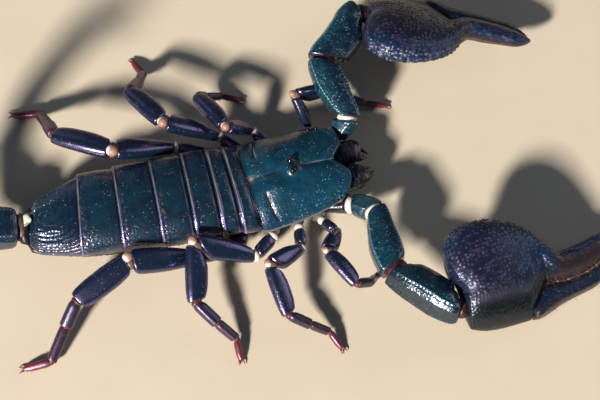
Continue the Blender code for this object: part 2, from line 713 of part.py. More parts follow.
def add_hand(side, parent):
    """Build the hand with its fixed finger, and the movable finger beside it."""
    wrist = Vector(PALP_JOINTS[side][-1])
    along, lobe, back = hand_axes(side)
    arm = (wrist - Vector(PALP_JOINTS[side][-2])).normalized()
    start = joint_inset(arm, along, 1.7)

    rings = []
    for x in (start, 1.8, 3.4, 6.2, 10.0, 14.5, SOCKET_X, 20.4, 22.8, FORK_X):
        ring = []
        for m, b in hand_section(hand_inner(x), hand_outer(x), hand_depth(x)):
            bulge = min(max(m - 5.0, 0.0) / 6.0, 1.0) * max(1.0 - x / 9.0, 0.0)
            ring.append(wrist + along * (x - LOBE_OVERHANG * bulge) + lobe * m + back * b)
        rings.append(ring)
    for x, *sizes in FIXED_FINGER:
        rings.append([wrist + along * x + lobe * m + back * b for m, b in hand_section(*sizes)])
    add_piece(f"palp_{side}_manus", loft(rings), "hand_shell", parent)

    swing = math.radians(FINGER_OPEN[side])
    rings = []
    for x, *sizes in MOVABLE_FINGER:
        ring = []
        for m, b in hand_section(*sizes):
            ahead, aside = x - FINGER_HINGE[0], m - FINGER_HINGE[1]
            turned_x = FINGER_HINGE[0] + ahead * math.cos(swing) + aside * math.sin(swing)
            turned_m = FINGER_HINGE[1] + aside * math.cos(swing) - ahead * math.sin(swing)
            ring.append(wrist + along * turned_x + lobe * turned_m + back * b)
        rings.append(ring)
    add_piece(f"palp_{side}_movable_finger", loft(rings), "hand_shell", parent)


# ---------------------------------------------------------------- the whole animal

def clear_scene():
    """Remove every object and set up the two collections."""
    for item in list(bpy.data.objects):
        bpy.data.objects.remove(item, do_unlink=True)
    for name in ("emperor_scorpion", "scorpion_cutters"):
        collection = bpy.data.collections.new(name)
        bpy.context.scene.collection.children.link(collection)


def centre_on_floor(root):
    """Move the root so that the middle of the model's footprint is the origin."""
    bpy.context.view_layer.update()
    corners = []
    for piece in bpy.data.collections["emperor_scorpion"].objects:
        if piece.type == "MESH":
            corners += [piece.matrix_world @ vertex.co for vertex in piece.data.vertices]
    low = [min(corner[axis] for corner in corners) for axis in range(3)]
    high = [max(corner[axis] for corner in corners) for axis in range(3)]
    root.location = (-(low[0] + high[0]) / 2, -(low[1] + high[1]) / 2, -low[2])


def main():
    """Build the scorpion."""
    clear_scene()
    root = add_empty("scorpion_root")
    body = add_empty("body", root)
    add_carapace(body)
    add_prosoma_base(body)
    add_chelicerae(body)
    add_pectines(body)
    add_tergites(body)
    add_belly(body)
    add_tail(add_empty("tail", root))
    for side in SIDES:
        palp = add_empty(f"palp_{side}", root)
        add_palp_arm(side, palp)
        add_hand(side, palp)
        for pair in LEG_LENGTHS:
            add_leg(side, pair, root)
    centre_on_floor(root)


main()
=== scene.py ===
"""Emperor scorpion, life size: the looks of a still museum model.

Every shape is worked out in millimetres, in the plan that the solids were drawn in: +X is
ahead, +Y is the animal's left, and the middle of the plan is where the head shield meets
the first back plate.  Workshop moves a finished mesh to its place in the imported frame.
"""

from __future__ import annotations

import logging
import math
from collections.abc import Sequence
from dataclasses import dataclass, field
from enum import Enum

import bpy
import numpy as np
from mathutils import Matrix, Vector


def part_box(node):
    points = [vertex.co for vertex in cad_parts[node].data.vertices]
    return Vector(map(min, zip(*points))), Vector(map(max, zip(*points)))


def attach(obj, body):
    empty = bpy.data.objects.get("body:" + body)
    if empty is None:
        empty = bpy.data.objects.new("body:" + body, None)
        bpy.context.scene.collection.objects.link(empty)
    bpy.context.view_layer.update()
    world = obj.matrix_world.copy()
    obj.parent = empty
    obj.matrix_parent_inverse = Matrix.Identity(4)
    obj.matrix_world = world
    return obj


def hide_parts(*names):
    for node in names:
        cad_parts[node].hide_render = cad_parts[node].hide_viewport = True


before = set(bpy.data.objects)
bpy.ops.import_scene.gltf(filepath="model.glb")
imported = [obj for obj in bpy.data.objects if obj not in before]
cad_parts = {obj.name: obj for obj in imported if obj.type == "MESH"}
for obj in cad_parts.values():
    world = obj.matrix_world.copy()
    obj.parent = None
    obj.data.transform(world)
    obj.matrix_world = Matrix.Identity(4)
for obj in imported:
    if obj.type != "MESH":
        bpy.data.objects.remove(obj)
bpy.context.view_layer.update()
LOG = logging.getLogger("scorpion")

MM = 0.001
Array = np.ndarray
Colour = tuple[float, float, float]


class Side(Enum):
    """The two sides of the animal; the value is the sign of Y."""

    LEFT = 1
    RIGHT = -1

    @property
    def word(self) -> str:
        """The side's name in small letters."""
        return self.name.lower()


# --- shape maths


def turn_z(degrees: float) -> Array:
    """Return the matrix that turns plan points anticlockwise about the upright axis."""
    angle = math.radians(degrees)
    cos, sin = math.cos(angle), math.sin(angle)
    return np.array([[cos, -sin, 0.0], [sin, cos, 0.0], [0.0, 0.0, 1.0]])


def unit(vector: Array) -> Array:
    """Return the vector at length one."""
    return np.asarray(vector, float) / np.linalg.norm(vector)


def upright(way: Array) -> tuple[Array, Array]:
    """Return the level axis to the left of a direction and the axis above both."""
    across = unit(np.cross([0.0, 0.0, 1.0], way))
    return across, np.cross(way, across)


def ease(x: Array | float, low: float, high: float) -> Array:
    """Rise from 0 at low to 1 at high: three t squared less two t cubed."""
    t = np.clip((np.asarray(x, float) - low) / (high - low), 0.0, 1.0)
    return t * t * (3.0 - 2.0 * t)


def fall(x: Array | float, low: float, high: float) -> Array:
    """Fall from 1 at low to 0 at high: one less ease."""
    return 1 - ease(x, low, high)


def swell(x: Array | float, width: float) -> Array:
    """A soft bump: e to the minus square of x over its width."""
    return np.exp(-np.square(np.asarray(x, float) / width))


def power(value: Array, exponent: float) -> Array:
    """Raise the size of a value to a power and keep its sign."""
    return np.sign(value) * np.abs(value) ** exponent


def oval(angle: Array, squareness: float) -> tuple[Array, Array]:
    """Return a superellipse of half size one: its cosine and sine to the power two over squareness."""
    return power(np.cos(angle), 2 / squareness), power(np.sin(angle), 2 / squareness)


def drawn_in(gap: Array, width: float, depth: float = 0.8) -> Array:
    """Square of a round end's size: one less depth by the square of one less gap over width."""
    return 1 - depth * (1 - np.minimum(gap / width, 1)) ** 2


def shares(count: int) -> Array:
    """Return this many even shares from 0 to 1."""
    return np.linspace(0.0, 1.0, count)


def turns(count: int) -> Array:
    """Return this many even angles round a circle."""
    return np.arange(count) * math.tau / count


def units(vectors: Array) -> Array:
    """Return rows of vectors at length one."""
    return vectors / np.maximum(np.linalg.norm(vectors, axis=-1, keepdims=True), 1e-9)


def apart(degrees: Array, place: float) -> Array:
    """Return how many degrees angles lie from a place round a limb."""
    return np.abs((degrees - place + 180) % 360 - 180)


def through(places: Sequence[float], values: Sequence[float], at: Array) -> Array:
    """Draw a cubic through pairs of place and value, with no overshoot.

    The slope at an inner place is the harmonic mean of the slopes on its two sides, or
    level where they differ in sign.

    Args:
        places: Rising places.
        values: A value for each.
        at: Where to read the curve.

    Returns:
        The curve's value at each.
    """
    x, y, at = np.asarray(places, float), np.asarray(values, float), np.asarray(at, float)
    step = np.diff(x)
    slope = np.diff(y) / step
    same = slope[:-1] * slope[1:] > 0
    both = np.where(same, slope[:-1] + slope[1:], 1.0)
    inner = np.where(same, 2.0 * slope[:-1] * slope[1:] / both, 0.0)
    tangent = np.concatenate([slope[:1], inner, slope[-1:]])
    left = np.clip(np.searchsorted(x, at, side="right") - 1, 0, len(step) - 1)
    t = np.clip((at - x[left]) / step[left], 0.0, 1.0)
    return (
        (1 + 2 * t) * (1 - t) ** 2 * y[left]
        + t * (1 - t) ** 2 * step[left] * tangent[left]
        + t * t * (3 - 2 * t) * y[left + 1]
        + t * t * (t - 1) * step[left] * tangent[left + 1]
    )


def columns(table: Sequence[Sequence[float]], at: Array | float) -> list[Array]:
    """Draw each column of a table but the first as a curve over the first one."""
    rows = np.array(table)
    return [through(rows[:, 0], column, at) for column in rows[:, 1:].T]


def closed_curve(corners: Array, at: Array) -> Array:
    """Draw a smooth closed curve through its corners.

    Each stretch is the cubic through its two corners whose end slopes are half the
    chord between the corners on either side.

    Args:
        corners: One row for each corner.
        at: Places counted in corners, from 0 to their number.

    Returns:
        One row for each place.
    """
    count = len(corners)
    first = np.floor(at).astype(int)
    t = (at - first)[:, None]
    a, b, c, d = (corners[(first + shift) % count] for shift in (-1, 0, 1, 2))
    return 0.5 * (2 * b + (c - a) * t + (2 * a - 5 * b + 4 * c - d) * t**2 + (3 * b - a - 3 * c + d) * t**3)


def scatter(i: Array, j: Array, seed: float) -> Array:
    """Return a fixed random number from 0 to 1 for each cell of a plan."""
    mixed = np.sin(i * 127.1 + j * 311.7 + seed * 74.7) * 43758.5453
    return mixed - np.floor(mixed)


def pebbles(a: Array, b: Array, seed: float, wrap: int = 0, fill: float = 0.46) -> Array:
    """Cover a plan with one rounded grain in each cell.

    A grain is a dome, one less the square of the distance over its radius, about a
    middle that is moved at random in its cell; where domes meet, the higher one counts.

    Args:
        a: First place, in cells.
        b: Second place, in cells.
        seed: Picks another set of grains.
        wrap: Cells round a closed limb in the second direction, or 0.
        fill: Mean radius of a grain, in cells.

    Returns:
        Heights from 0 to 1.
    """
    a, b = np.broadcast_arrays(a, b)
    height = np.zeros(a.shape)
    for step_a in (-1, 0, 1):
        for step_b in (-1, 0, 1):
            cell_a, cell_b = np.floor(a) + step_a, np.floor(b) + step_b
            key = np.mod(cell_b, wrap) if wrap else cell_b
            middle_a = cell_a + 0.5 + 0.66 * (scatter(cell_a, key, seed) - 0.5)
            middle_b = cell_b + 0.5 + 0.66 * (scatter(cell_a, key, seed + 1.3) - 0.5)
            radius = fill * (0.62 + 0.55 * scatter(cell_a, key, seed + 2.9))
            far = ((a - middle_a) ** 2 + (b - middle_b) ** 2) / radius**2
            height = np.maximum(height, np.clip(1.0 - far, 0.0, None) ** 0.8 * radius / (1.17 * fill))
    return height


def knobs(points: Array, pitch: float, seed: float, fill: float = 0.5) -> Array:
    """Raise rounded grains where a skin cuts balls that are scattered in space.

    Each cube of space holds one ball about a middle moved at random; a grain is one
    less the square of the distance over its radius.

    Args:
        points: Places on the skin.
        pitch: Side of a cube.
        seed: Picks another set of balls.
        fill: Mean radius of a ball, in cubes.

    Returns:
        Heights from 0 to 1.
    """
    place = points / pitch
    cell = np.floor(place)
    height = np.zeros(points.shape[:-1])
    for step in np.ndindex(3, 3, 3):
        corner = cell + (np.array(step) - 1.0)
        i, j, k = np.moveaxis(corner, -1, 0)
        shifts = [scatter(i + 0.37 * k, j + 1.7 * k, seed + part) for part in (0.0, 1.3, 2.6)]
        moved = np.stack(shifts, axis=-1)
        radius = fill * (0.75 + 0.5 * scatter(i + 2.3 * k, j, seed + 3.9))
        far = np.sum((place - corner - 0.5 - 0.6 * (moved - 0.5)) ** 2, axis=-1) / radius**2
        height = np.maximum(height, np.clip(1.0 - far, 0.0, None) ** 0.8)
    return height


def beads(along: Array, pitch: float) -> Array:
    """A row of rounded beads: the size of the sine along it, to the power 0.6."""
    return np.abs(np.sin(math.pi * along / pitch)) ** 0.6


def normals_of(grid: Array) -> Array:
    """Return outward unit normals of a closed skin of rings.

    A normal is the cross product of the differences round the ring and along the rings,
    with the sign that points away from the middles of the rings.
    """
    along = np.gradient(grid, axis=0)
    around = np.roll(grid, -1, axis=1) - np.roll(grid, 1, axis=1)
    normal = units(np.cross(around, along))
    outward = np.sum(normal * (grid - grid.mean(axis=1, keepdims=True)))
    return normal if outward > 0 else -normal


def raised(grid: Array, height: Array) -> Array:
    """Move every point of a closed skin along its normal by a height."""
    return grid + normals_of(grid) * height[..., None]


def ball(centre: Array, axes: Array, radii: Sequence[float], rings: int = 18, around: int = 26) -> Array:
    """Return an ellipsoid as rings: sines and cosines of two angles along three axes.

    Args:
        centre: Its middle.
        axes: Three rows, the first one from pole to pole.
        radii: Its half size along each.
        rings: Rings between the poles.
        around: Points in a ring.

    Returns:
        Rings of points.
    """
    lift = np.linspace(-0.48, 0.48, rings)[:, None] * math.pi
    angle = (turns(around))[None, :]
    parts = (np.sin(lift) + 0 * angle, np.cos(lift) * np.cos(angle), np.cos(lift) * np.sin(angle))
    return centre + sum((p * r)[..., None] * a for p, r, a in zip(parts, radii, np.asarray(axes)))


def tube(path: Array, widths: Array, heights: Array, around: int = 14, squareness: float = 2.0) -> Array:
    """Carry an upright superellipse along a path.

    Args:
        path: Points of the middle line.
        widths: Width of the section at each.
        heights: Height of the section at each.
        around: Points in a ring.
        squareness: 2 for an ellipse, more for a squarer one.

    Returns:
        Rings of points.
    """
    way = units(np.gradient(path, axis=0))
    across = units(np.cross([0.0, 0.0, 1.0], way))
    up = np.cross(way, across)
    side, rise = (
        wave[None, :, None] * np.asarray(size)[:, None, None] / 2
        for wave, size in zip(oval(turns(around), squareness), (widths, heights))
    )
    return path[:, None] + side * across[:, None] + rise * up[:, None]


def bent(points: Sequence[Sequence[float]], steps: int) -> Array:
    """Draw a smooth open path through points, at even shares of its length."""
    corners = np.asarray(points, float)
    length = np.concatenate([[0.0], np.cumsum(np.linalg.norm(np.diff(corners, axis=0), axis=1))])
    at = np.linspace(0.0, length[-1], steps)
    return np.stack([through(length, corners[:, axis], at) for axis in range(3)], axis=1)


# --- meshes


@dataclass
class Marks:
    """What a skin tells its finish at each point, each from 0 to 1.

    warm is reddish horn, and on the back plates' rims a violet painted sheen; pale is bare or rubbed
    edge, and partly painted highlight on those rims and on the hand's rim knobs; shade is the
    darkest tone, and painted shade where shade falls; tip is the height of a grain, whose paler
    colour is a painted highlight; and drift moves the body colour towards the second one.
    """

    warm: Array | float = 0.0
    pale: Array | float = 0.0
    shade: Array | float = 0.0
    tip: Array | float = 0.0
    drift: Array | float = 0.0

    def spread(self, shape: tuple[int, int]) -> tuple[Array, Array]:
        """Return the four marks as one array and the drift as another, at every point."""
        four = [np.broadcast_to(m, shape) for m in (self.warm, self.pale, self.shade, self.tip)]
        drift = np.broadcast_to(self.drift, shape).ravel()
        return np.clip(np.stack(four, axis=-1), 0, 1).reshape(-1, 4), drift


@dataclass
class Skin:
    """Closed skins gathered into one mesh."""

    points: list[Array] = field(default_factory=list)
    marks: list[Array] = field(default_factory=list)
    drift: list[Array] = field(default_factory=list)
    quads: list[Array] = field(default_factory=list)
    fans: list[Array] = field(default_factory=list)
    count: int = 0

    def add(self, grid: Array, marks: Marks | None = None) -> Skin:
        """Add a skin of closed rings, with both ends drawn to a middle point.

        The faces are turned so that the skin's signed volume is positive.

        Args:
            grid: Rings of points.
            marks: What the finish is told along it.

        Returns:
            This skin, so that calls can be chained.
        """
        rings, around = grid.shape[:2]
        index = np.arange(rings * around).reshape(rings, around)
        after = np.roll(index, -1, axis=1)
        quads = np.stack([index[:-1], after[:-1], after[1:], index[1:]], axis=-1).reshape(-1, 4)
        middle = np.full(around, rings * around)
        fans = np.concatenate([
            np.stack([middle, after[0], index[0]], axis=-1),
            np.stack([middle + 1, index[-1], after[-1]], axis=-1),
        ])
        points = np.concatenate([grid.reshape(-1, 3), grid[0].mean(0)[None], grid[-1].mean(0)[None]])
        centred = points - points.mean(0)
        halves = np.concatenate([quads[:, [0, 1, 2]], quads[:, [0, 2, 3]], fans])
        a, b, c = (centred[halves[:, corner]] for corner in range(3))
        if np.einsum("ij,ij->", a, np.cross(b, c)) < 0:
            quads, fans = quads[:, ::-1], fans[:, ::-1]
        four, drift = (marks or Marks()).spread((rings, around))
        ends = [four[:around].mean(0)[None], four[-around:].mean(0)[None]]
        self.points.append(points)
        self.marks.append(np.concatenate([four, *ends]))
        self.drift.append(np.concatenate([drift, [drift[:around].mean(), drift[-around:].mean()]]))
        self.quads.append(quads + self.count)
        self.fans.append(fans + self.count)
        self.count += len(points)
        return self


def mesh_of(name: str, points: Array, quads: Array, fans: Array) -> tuple[bpy.types.Mesh, Array]:
    """Make a smooth mesh of faces with four and with three corners.

    Args:
        name: The mesh's name.
        points: Its points, in frame metres.
        quads: Four point numbers for each face.
        fans: Three point numbers for each face.

    Returns:
        The mesh, and the point number at each corner of its faces.
    """
    mesh = bpy.data.meshes.new(name)
    corners = np.concatenate([quads.ravel(), fans.ravel()]).astype(np.int32)
    starts = np.concatenate([np.arange(len(quads)) * 4, len(quads) * 4 + np.arange(len(fans)) * 3])
    mesh.vertices.add(len(points))
    mesh.vertices.foreach_set("co", points.ravel())
    mesh.loops.add(len(corners))
    mesh.loops.foreach_set("vertex_index", corners)
    mesh.polygons.add(len(starts))
    mesh.polygons.foreach_set("loop_start", starts.astype(np.int32))
    mesh.update(calc_edges=True)
    mesh.shade_smooth()
    return mesh, corners


@dataclass
class Workshop:
    """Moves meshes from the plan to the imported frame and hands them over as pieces."""

    looks: Finishes
    eye_spot: tuple[float, float] = (13.0, 16.4)
    shield_yaw: float = 5.5
    faces: int = 0

    def __post_init__(self) -> None:
        """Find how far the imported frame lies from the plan, by the middle of the two eyes."""
        corners = [np.array(corner) for eye in ("eye_left", "eye_right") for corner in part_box(eye)]
        middle = turn_z(self.shield_yaw) @ np.array([self.eye_spot[0], 0.0, self.eye_spot[1]])
        self.offset = np.mean(corners, axis=0) - middle * MM

    def place(self, point: Sequence[float]) -> Array:
        """Return a plan point in millimetres as a frame point in metres."""
        return np.asarray(point, float) * MM + self.offset

    def hand_over(self, name: str, skin: Skin, look: str, slot: str, *nodes: str) -> None:
        """Make a skin into a piece of the model.

        Args:
            name: The piece's name.
            skin: Its shape, in plan millimetres.
            look: The name of its finish.
            slot: Not used.
            *nodes: The solids that it stands for.
        """
        points = self.place(np.concatenate(skin.points))
        mesh, _ = mesh_of(name, points, np.concatenate(skin.quads), np.concatenate(skin.fans))
        colours = mesh.attributes.new("marks", "FLOAT_COLOR", "POINT")
        colours.data.foreach_set("color", np.concatenate(skin.marks).astype(np.float32).ravel())
        drift = mesh.attributes.new("drift", "FLOAT", "POINT")
        drift.data.foreach_set("value", np.concatenate(skin.drift).astype(np.float32))
        self.dress(mesh, look, slot, *nodes)

    def dress(self, mesh: bpy.types.Mesh, look: str, slot: str, *nodes: str) -> None:
        """Link a mesh as an object that rides on the model, and report it.

        Args:
            mesh: The piece's mesh, in frame metres, under the piece's name.
            look: The name of its finish.
            slot: Not used.
            *nodes: The solids that it stands for.
        """
        mesh.materials.append(self.looks[look])
        piece = bpy.data.objects.new(mesh.name, mesh)
        bpy.context.scene.collection.objects.link(piece)
        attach(piece, "root")
        if nodes:
            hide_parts(*nodes)
        triangles = len(mesh.loops) - 2 * len(mesh.polygons)
        self.faces += triangles
        LOG.info("%s: %d triangles", piece.name, triangles)


# --- finishes


def tone(red: int, green: int, blue: int) -> Colour:
    """Return a screen colour of 0 to 255 as scene-linear numbers."""
    parts = (c / 255 for c in (red, green, blue))
    return tuple(c / 12.92 if c <= 0.04045 else ((c + 0.055) / 1.055) ** 2.4 for c in parts)


class Signal:
    """One output of a node, on which sums are written as Python expressions."""

    def __init__(self, tree: bpy.types.NodeTree, socket: bpy.types.NodeSocket) -> None:
        """Keep the node tree and the output socket."""
        self.tree, self.socket = tree, socket

    def _sum(self, operation: str, first: Signal | float, second: Signal | float) -> Signal:
        """Add a Math node that works on two numbers or signals."""
        node = self.tree.nodes.new("ShaderNodeMath")
        node.operation = operation
        for entry, value in zip(node.inputs, (first, second)):
            if isinstance(value, Signal):
                self.tree.links.new(value.socket, entry)
            else:
                entry.default_value = value
        return Signal(self.tree, node.outputs[0])

    def __add__(self, other: Signal | float) -> Signal:
        """Add."""
        return self._sum("ADD", self, other)

    __radd__ = __add__

    def __sub__(self, other: Signal | float) -> Signal:
        """Take the other from this."""
        return self._sum("SUBTRACT", self, other)

    def __rsub__(self, other: float) -> Signal:
        """Take this from the other."""
        return self._sum("SUBTRACT", other, self)

    def __mul__(self, other: Signal | float) -> Signal:
        """Multiply."""
        return self._sum("MULTIPLY", self, other)

    __rmul__ = __mul__

    def __truediv__(self, other: Signal | float) -> Signal:
        """Divide this by the other."""
        return self._sum("DIVIDE", self, other)

    def __pow__(self, other: float) -> Signal:
        """Raise this to a power."""
        return self._sum("POWER", self, other)

    def held(self) -> Signal:
        """Hold this between 0 and 1."""
        return self._sum("MAXIMUM", self._sum("MINIMUM", self, 1.0), 0.0)

    def greatest(self, other: Signal) -> Signal:
        """Return the greater of the two."""
        return self._sum("MAXIMUM", self, other)


class Paint:
    """The node graph of one material, ending in one Principled shader."""

    def __init__(self, name: str) -> None:
        """Start an empty graph for a new material of this name."""
        self.material = bpy.data.materials.new(name)
        self.material.use_nodes = True
        self.tree = self.material.node_tree
        self.tree.nodes.clear()
        self.place = self.node("ShaderNodeTexCoord", output="Object")

    def node(
        self, kind: str, settings: dict | None = None, inputs: dict | None = None, output: int | str = 0
    ) -> Signal | None:
        """Add a node.

        Args:
            kind: Its type.
            settings: Its own settings, set first.
            inputs: Values or signals for its sockets, by number or name.
            output: The output that is wanted.

        Returns:
            That output, or None for a node without one.
        """
        node = self.tree.nodes.new(kind)
        for name, value in (settings or {}).items():
            setattr(node, name, value)
        for key, value in (inputs or {}).items():
            if isinstance(value, Signal):
                self.tree.links.new(value.socket, node.inputs[key])
            elif isinstance(value, tuple) and len(value) == 3 and node.inputs[key].type == "RGBA":
                node.inputs[key].default_value = (*value, 1.0)
            else:
                node.inputs[key].default_value = value
        return Signal(self.tree, node.outputs[output]) if len(node.outputs) else None

    def mix(self, share: Signal | float, first: Signal | Colour, second: Signal | Colour) -> Signal:
        """Mix two colours by a share of the second."""
        return self.node("ShaderNodeMix", {"data_type": "RGBA"}, {0: share, 6: first, 7: second}, output=2)

    def noise(self, size: float, detail: float = 3.0, rough: float = 0.55) -> Signal:
        """Add a soft noise whose features are about this many millimetres across."""
        inputs = {"Vector": self.place, "Scale": 1.0 / (size * MM), "Detail": detail, "Roughness": rough}
        return self.node("ShaderNodeTexNoise", {}, inputs, output="Fac")

    def grains(self, size: float, fill: float) -> Signal:
        """Add rounded grains this many millimetres apart, which fill this share of their cells."""
        inputs = {"Vector": self.place, "Scale": 1.0 / (size * MM), "Randomness": 0.9}
        near = self.node("ShaderNodeTexVoronoi", {"feature": "F1"}, inputs, output="Distance")
        return (1.0 - (near / fill) ** 2.0).held()

    def step(self, value: Signal, low: float, high: float) -> Signal:
        """Rise smoothly from 0 at low to 1 at high."""
        inputs = {"Value": value, "From Min": low, "From Max": high}
        return self.node("ShaderNodeMapRange", {"interpolation_type": "SMOOTHSTEP"}, inputs)

    def marks(self) -> tuple[Signal, Signal, Signal, Signal, Signal]:
        """Read the skin's marks: warm, pale, shade, tip and drift."""
        read = self.tree.nodes.new("ShaderNodeAttribute")
        read.attribute_name = "marks"
        split = self.tree.nodes.new("ShaderNodeSeparateColor")
        self.tree.links.new(read.outputs["Color"], split.inputs[0])
        parts = [Signal(self.tree, socket) for socket in split.outputs[:3]]
        drift = self.node("ShaderNodeAttribute", {"attribute_name": "drift"}, output="Fac")
        return (*parts, Signal(self.tree, read.outputs["Alpha"]), drift)

    def bump(self, height: Signal, depth: float, under: Signal | None = None) -> Signal:
        """Turn a height from 0 to 1 into a normal, for a depth in millimetres."""
        inputs = {"Height": height, "Distance": depth * MM, "Strength": 1.0}
        if under is not None:
            inputs["Normal"] = under
        return self.node("ShaderNodeBump", {}, inputs)

    def finished(self, sockets: dict) -> bpy.types.Material:
        """Add the Principled shader with these sockets and return the material."""
        shader = self.node("ShaderNodeBsdfPrincipled", {}, sockets)
        self.node("ShaderNodeOutputMaterial", {}, {"Surface": shader})
        return self.material


@dataclass(frozen=True)
class ShellFinish:
    """Glossy horn: a body colour that drifts to a second one, with fine grain, pale edges that are
    partly rubbed and partly painted highlight, grain tips painted paler as painted highlight, and
    sparse pale dots that are painted glints.

    Sizes are in millimetres.
    """

    name: str
    deep: Colour
    body: Colour
    second: Colour
    pale: Colour = tone(186, 176, 172)
    warm: Colour = tone(96, 26, 18)
    # tip: the paler colour of grain tips, a painted highlight
    tip: Colour = tone(96, 112, 140)
    tip_share: float = 0.3
    grain: float = 0.42
    grain_depth: float = 0.035
    grain_cover: tuple[float, float] = (0.42, 0.62)
    # painted glints: sparse pale dots that stand in for sparkle on the grains
    painted_glint: Colour = tone(150, 165, 180)
    painted_glint_pitch: float = 1.0
    painted_glint_share: float = 0.6
    gloss: float = 0.26
    glint: Colour = (1.0, 1.0, 1.0)
    shine: float = 0.5
    coat: float = 0.1
    density: float = 1.7
    patches: float = 0.5

    def make(self) -> bpy.types.Material:
        """Build the material."""
        paint = Paint(self.name)
        warm, pale, shade, tip, drift = paint.marks()
        broad, cloud, fine = paint.noise(9.0, 2.0), paint.noise(2.4, 4.0), paint.noise(0.35, 2.0)
        share = (drift + (broad - 0.5) * 0.9).held()
        colour = paint.mix(share, self.body, self.second)
        colour = paint.mix(paint.step(cloud, 0.36, 0.70) * self.patches, colour, self.deep)
        grain = paint.grains(self.grain, 0.52) * paint.step(paint.noise(3.2, 2.0), *self.grain_cover)
        # Painted highlight: grain tips are mixed towards the paler tip colour.
        colour = paint.mix((grain.greatest(tip) ** 2.0) * self.tip_share, colour, self.tip)
        # Painted glints: sparse pale dots, which also get a small bump.
        painted_glint = paint.grains(self.painted_glint_pitch, 0.24) * paint.step(paint.noise(3.6, 2.0), 0.46, 0.58)
        colour = paint.mix(painted_glint * self.painted_glint_share, colour, self.painted_glint)
        # Dark tones, and painted shade where the marks put it.
        colour = paint.mix(shade * (0.75 + 0.5 * cloud), colour, self.deep)
        # Reddish horn, and on the back plates' rims a violet painted sheen.
        colour = paint.mix((warm * (0.7 + 0.6 * cloud)).held(), colour, self.warm)
        # Pale edges: partly rubbed, partly painted highlight.
        colour = paint.mix((pale * (0.55 + 0.9 * cloud)).held(), colour, self.pale)
        rough = (self.gloss + 0.16 * (cloud - 0.5) + 0.06 * fine + 0.10 * pale - 0.05 * shade).held()
        scuffs = paint.bump(fine, 0.010)
        return paint.finished({
            "Base Color": colour,
            "Roughness": rough,
            "Normal": paint.bump(grain.greatest(painted_glint), self.grain_depth, scuffs),
            "Specular IOR Level": self.shine,
            "Specular Tint": self.glint,
            "IOR": self.density,
            "Coat Weight": self.coat,
            "Coat Roughness": 0.10,
        })


@dataclass(frozen=True)
class SkinFinish:
    """Soft joint skin: ivory that drifts to flesh, with brown folds."""

    name: str
    body: Colour
    second: Colour
    deep: Colour
    warm: Colour = tone(88, 20, 16)
    crease: float = 0.5
    gloss: float = 0.42

    def make(self) -> bpy.types.Material:
        """Build the material."""
        paint = Paint(self.name)
        warm, pale, shade, _, drift = paint.marks()
        cloud, fold = paint.noise(1.2, 4.0), paint.noise(self.crease, 3.0)
        colour = paint.mix((drift + (cloud - 0.5) * 0.5).held(), self.body, self.second)
        colour = paint.mix((shade * (0.6 + 0.8 * cloud)).held(), colour, self.deep)
        colour = paint.mix((warm * (0.7 + 0.6 * cloud)).held(), colour, self.warm)
        colour = paint.mix(pale * 0.6, colour, tone(240, 232, 222))
        return paint.finished({
            "Base Color": colour,
            "Roughness": (self.gloss + 0.25 * (cloud - 0.5)).held(),
            "Normal": paint.bump(fold, 0.05),
            "Subsurface Weight": 0.08,
            "Subsurface Radius": (0.0012, 0.0006, 0.0004),
        })


@dataclass(frozen=True)
class EyeFinish:
    """Black lens under a clear coat, a little brown where it is thin."""

    name: str = "eye_gloss"

    def make(self) -> bpy.types.Material:
        """Build the material."""
        paint = Paint(self.name)
        cloud = paint.noise(0.8, 3.0)
        colour = paint.mix(paint.step(cloud, 0.45, 0.75), tone(8, 8, 12), tone(34, 20, 18))
        return paint.finished({
            "Base Color": colour,
            "Roughness": 0.05 + 0.05 * cloud,
            "Coat Weight": 1.0,
            "Coat Roughness": 0.03,
        })


@dataclass(frozen=True)
class BristleFinish:
    """Stiff hair, from a dark root colour to a paler one in drifts."""

    name: str
    dark: Colour
    light: Colour

    def make(self) -> bpy.types.Material:
        """Build the material."""
        paint = Paint(self.name)
        cloud = paint.noise(1.5, 2.0)
        colour = paint.mix(paint.step(cloud, 0.35, 0.65), self.dark, self.light)
        return paint.finished({
            "Base Color": colour,
            "Roughness": 0.38 + 0.15 * cloud,
            "Specular Tint": (1.0, 0.9, 0.95),
        })


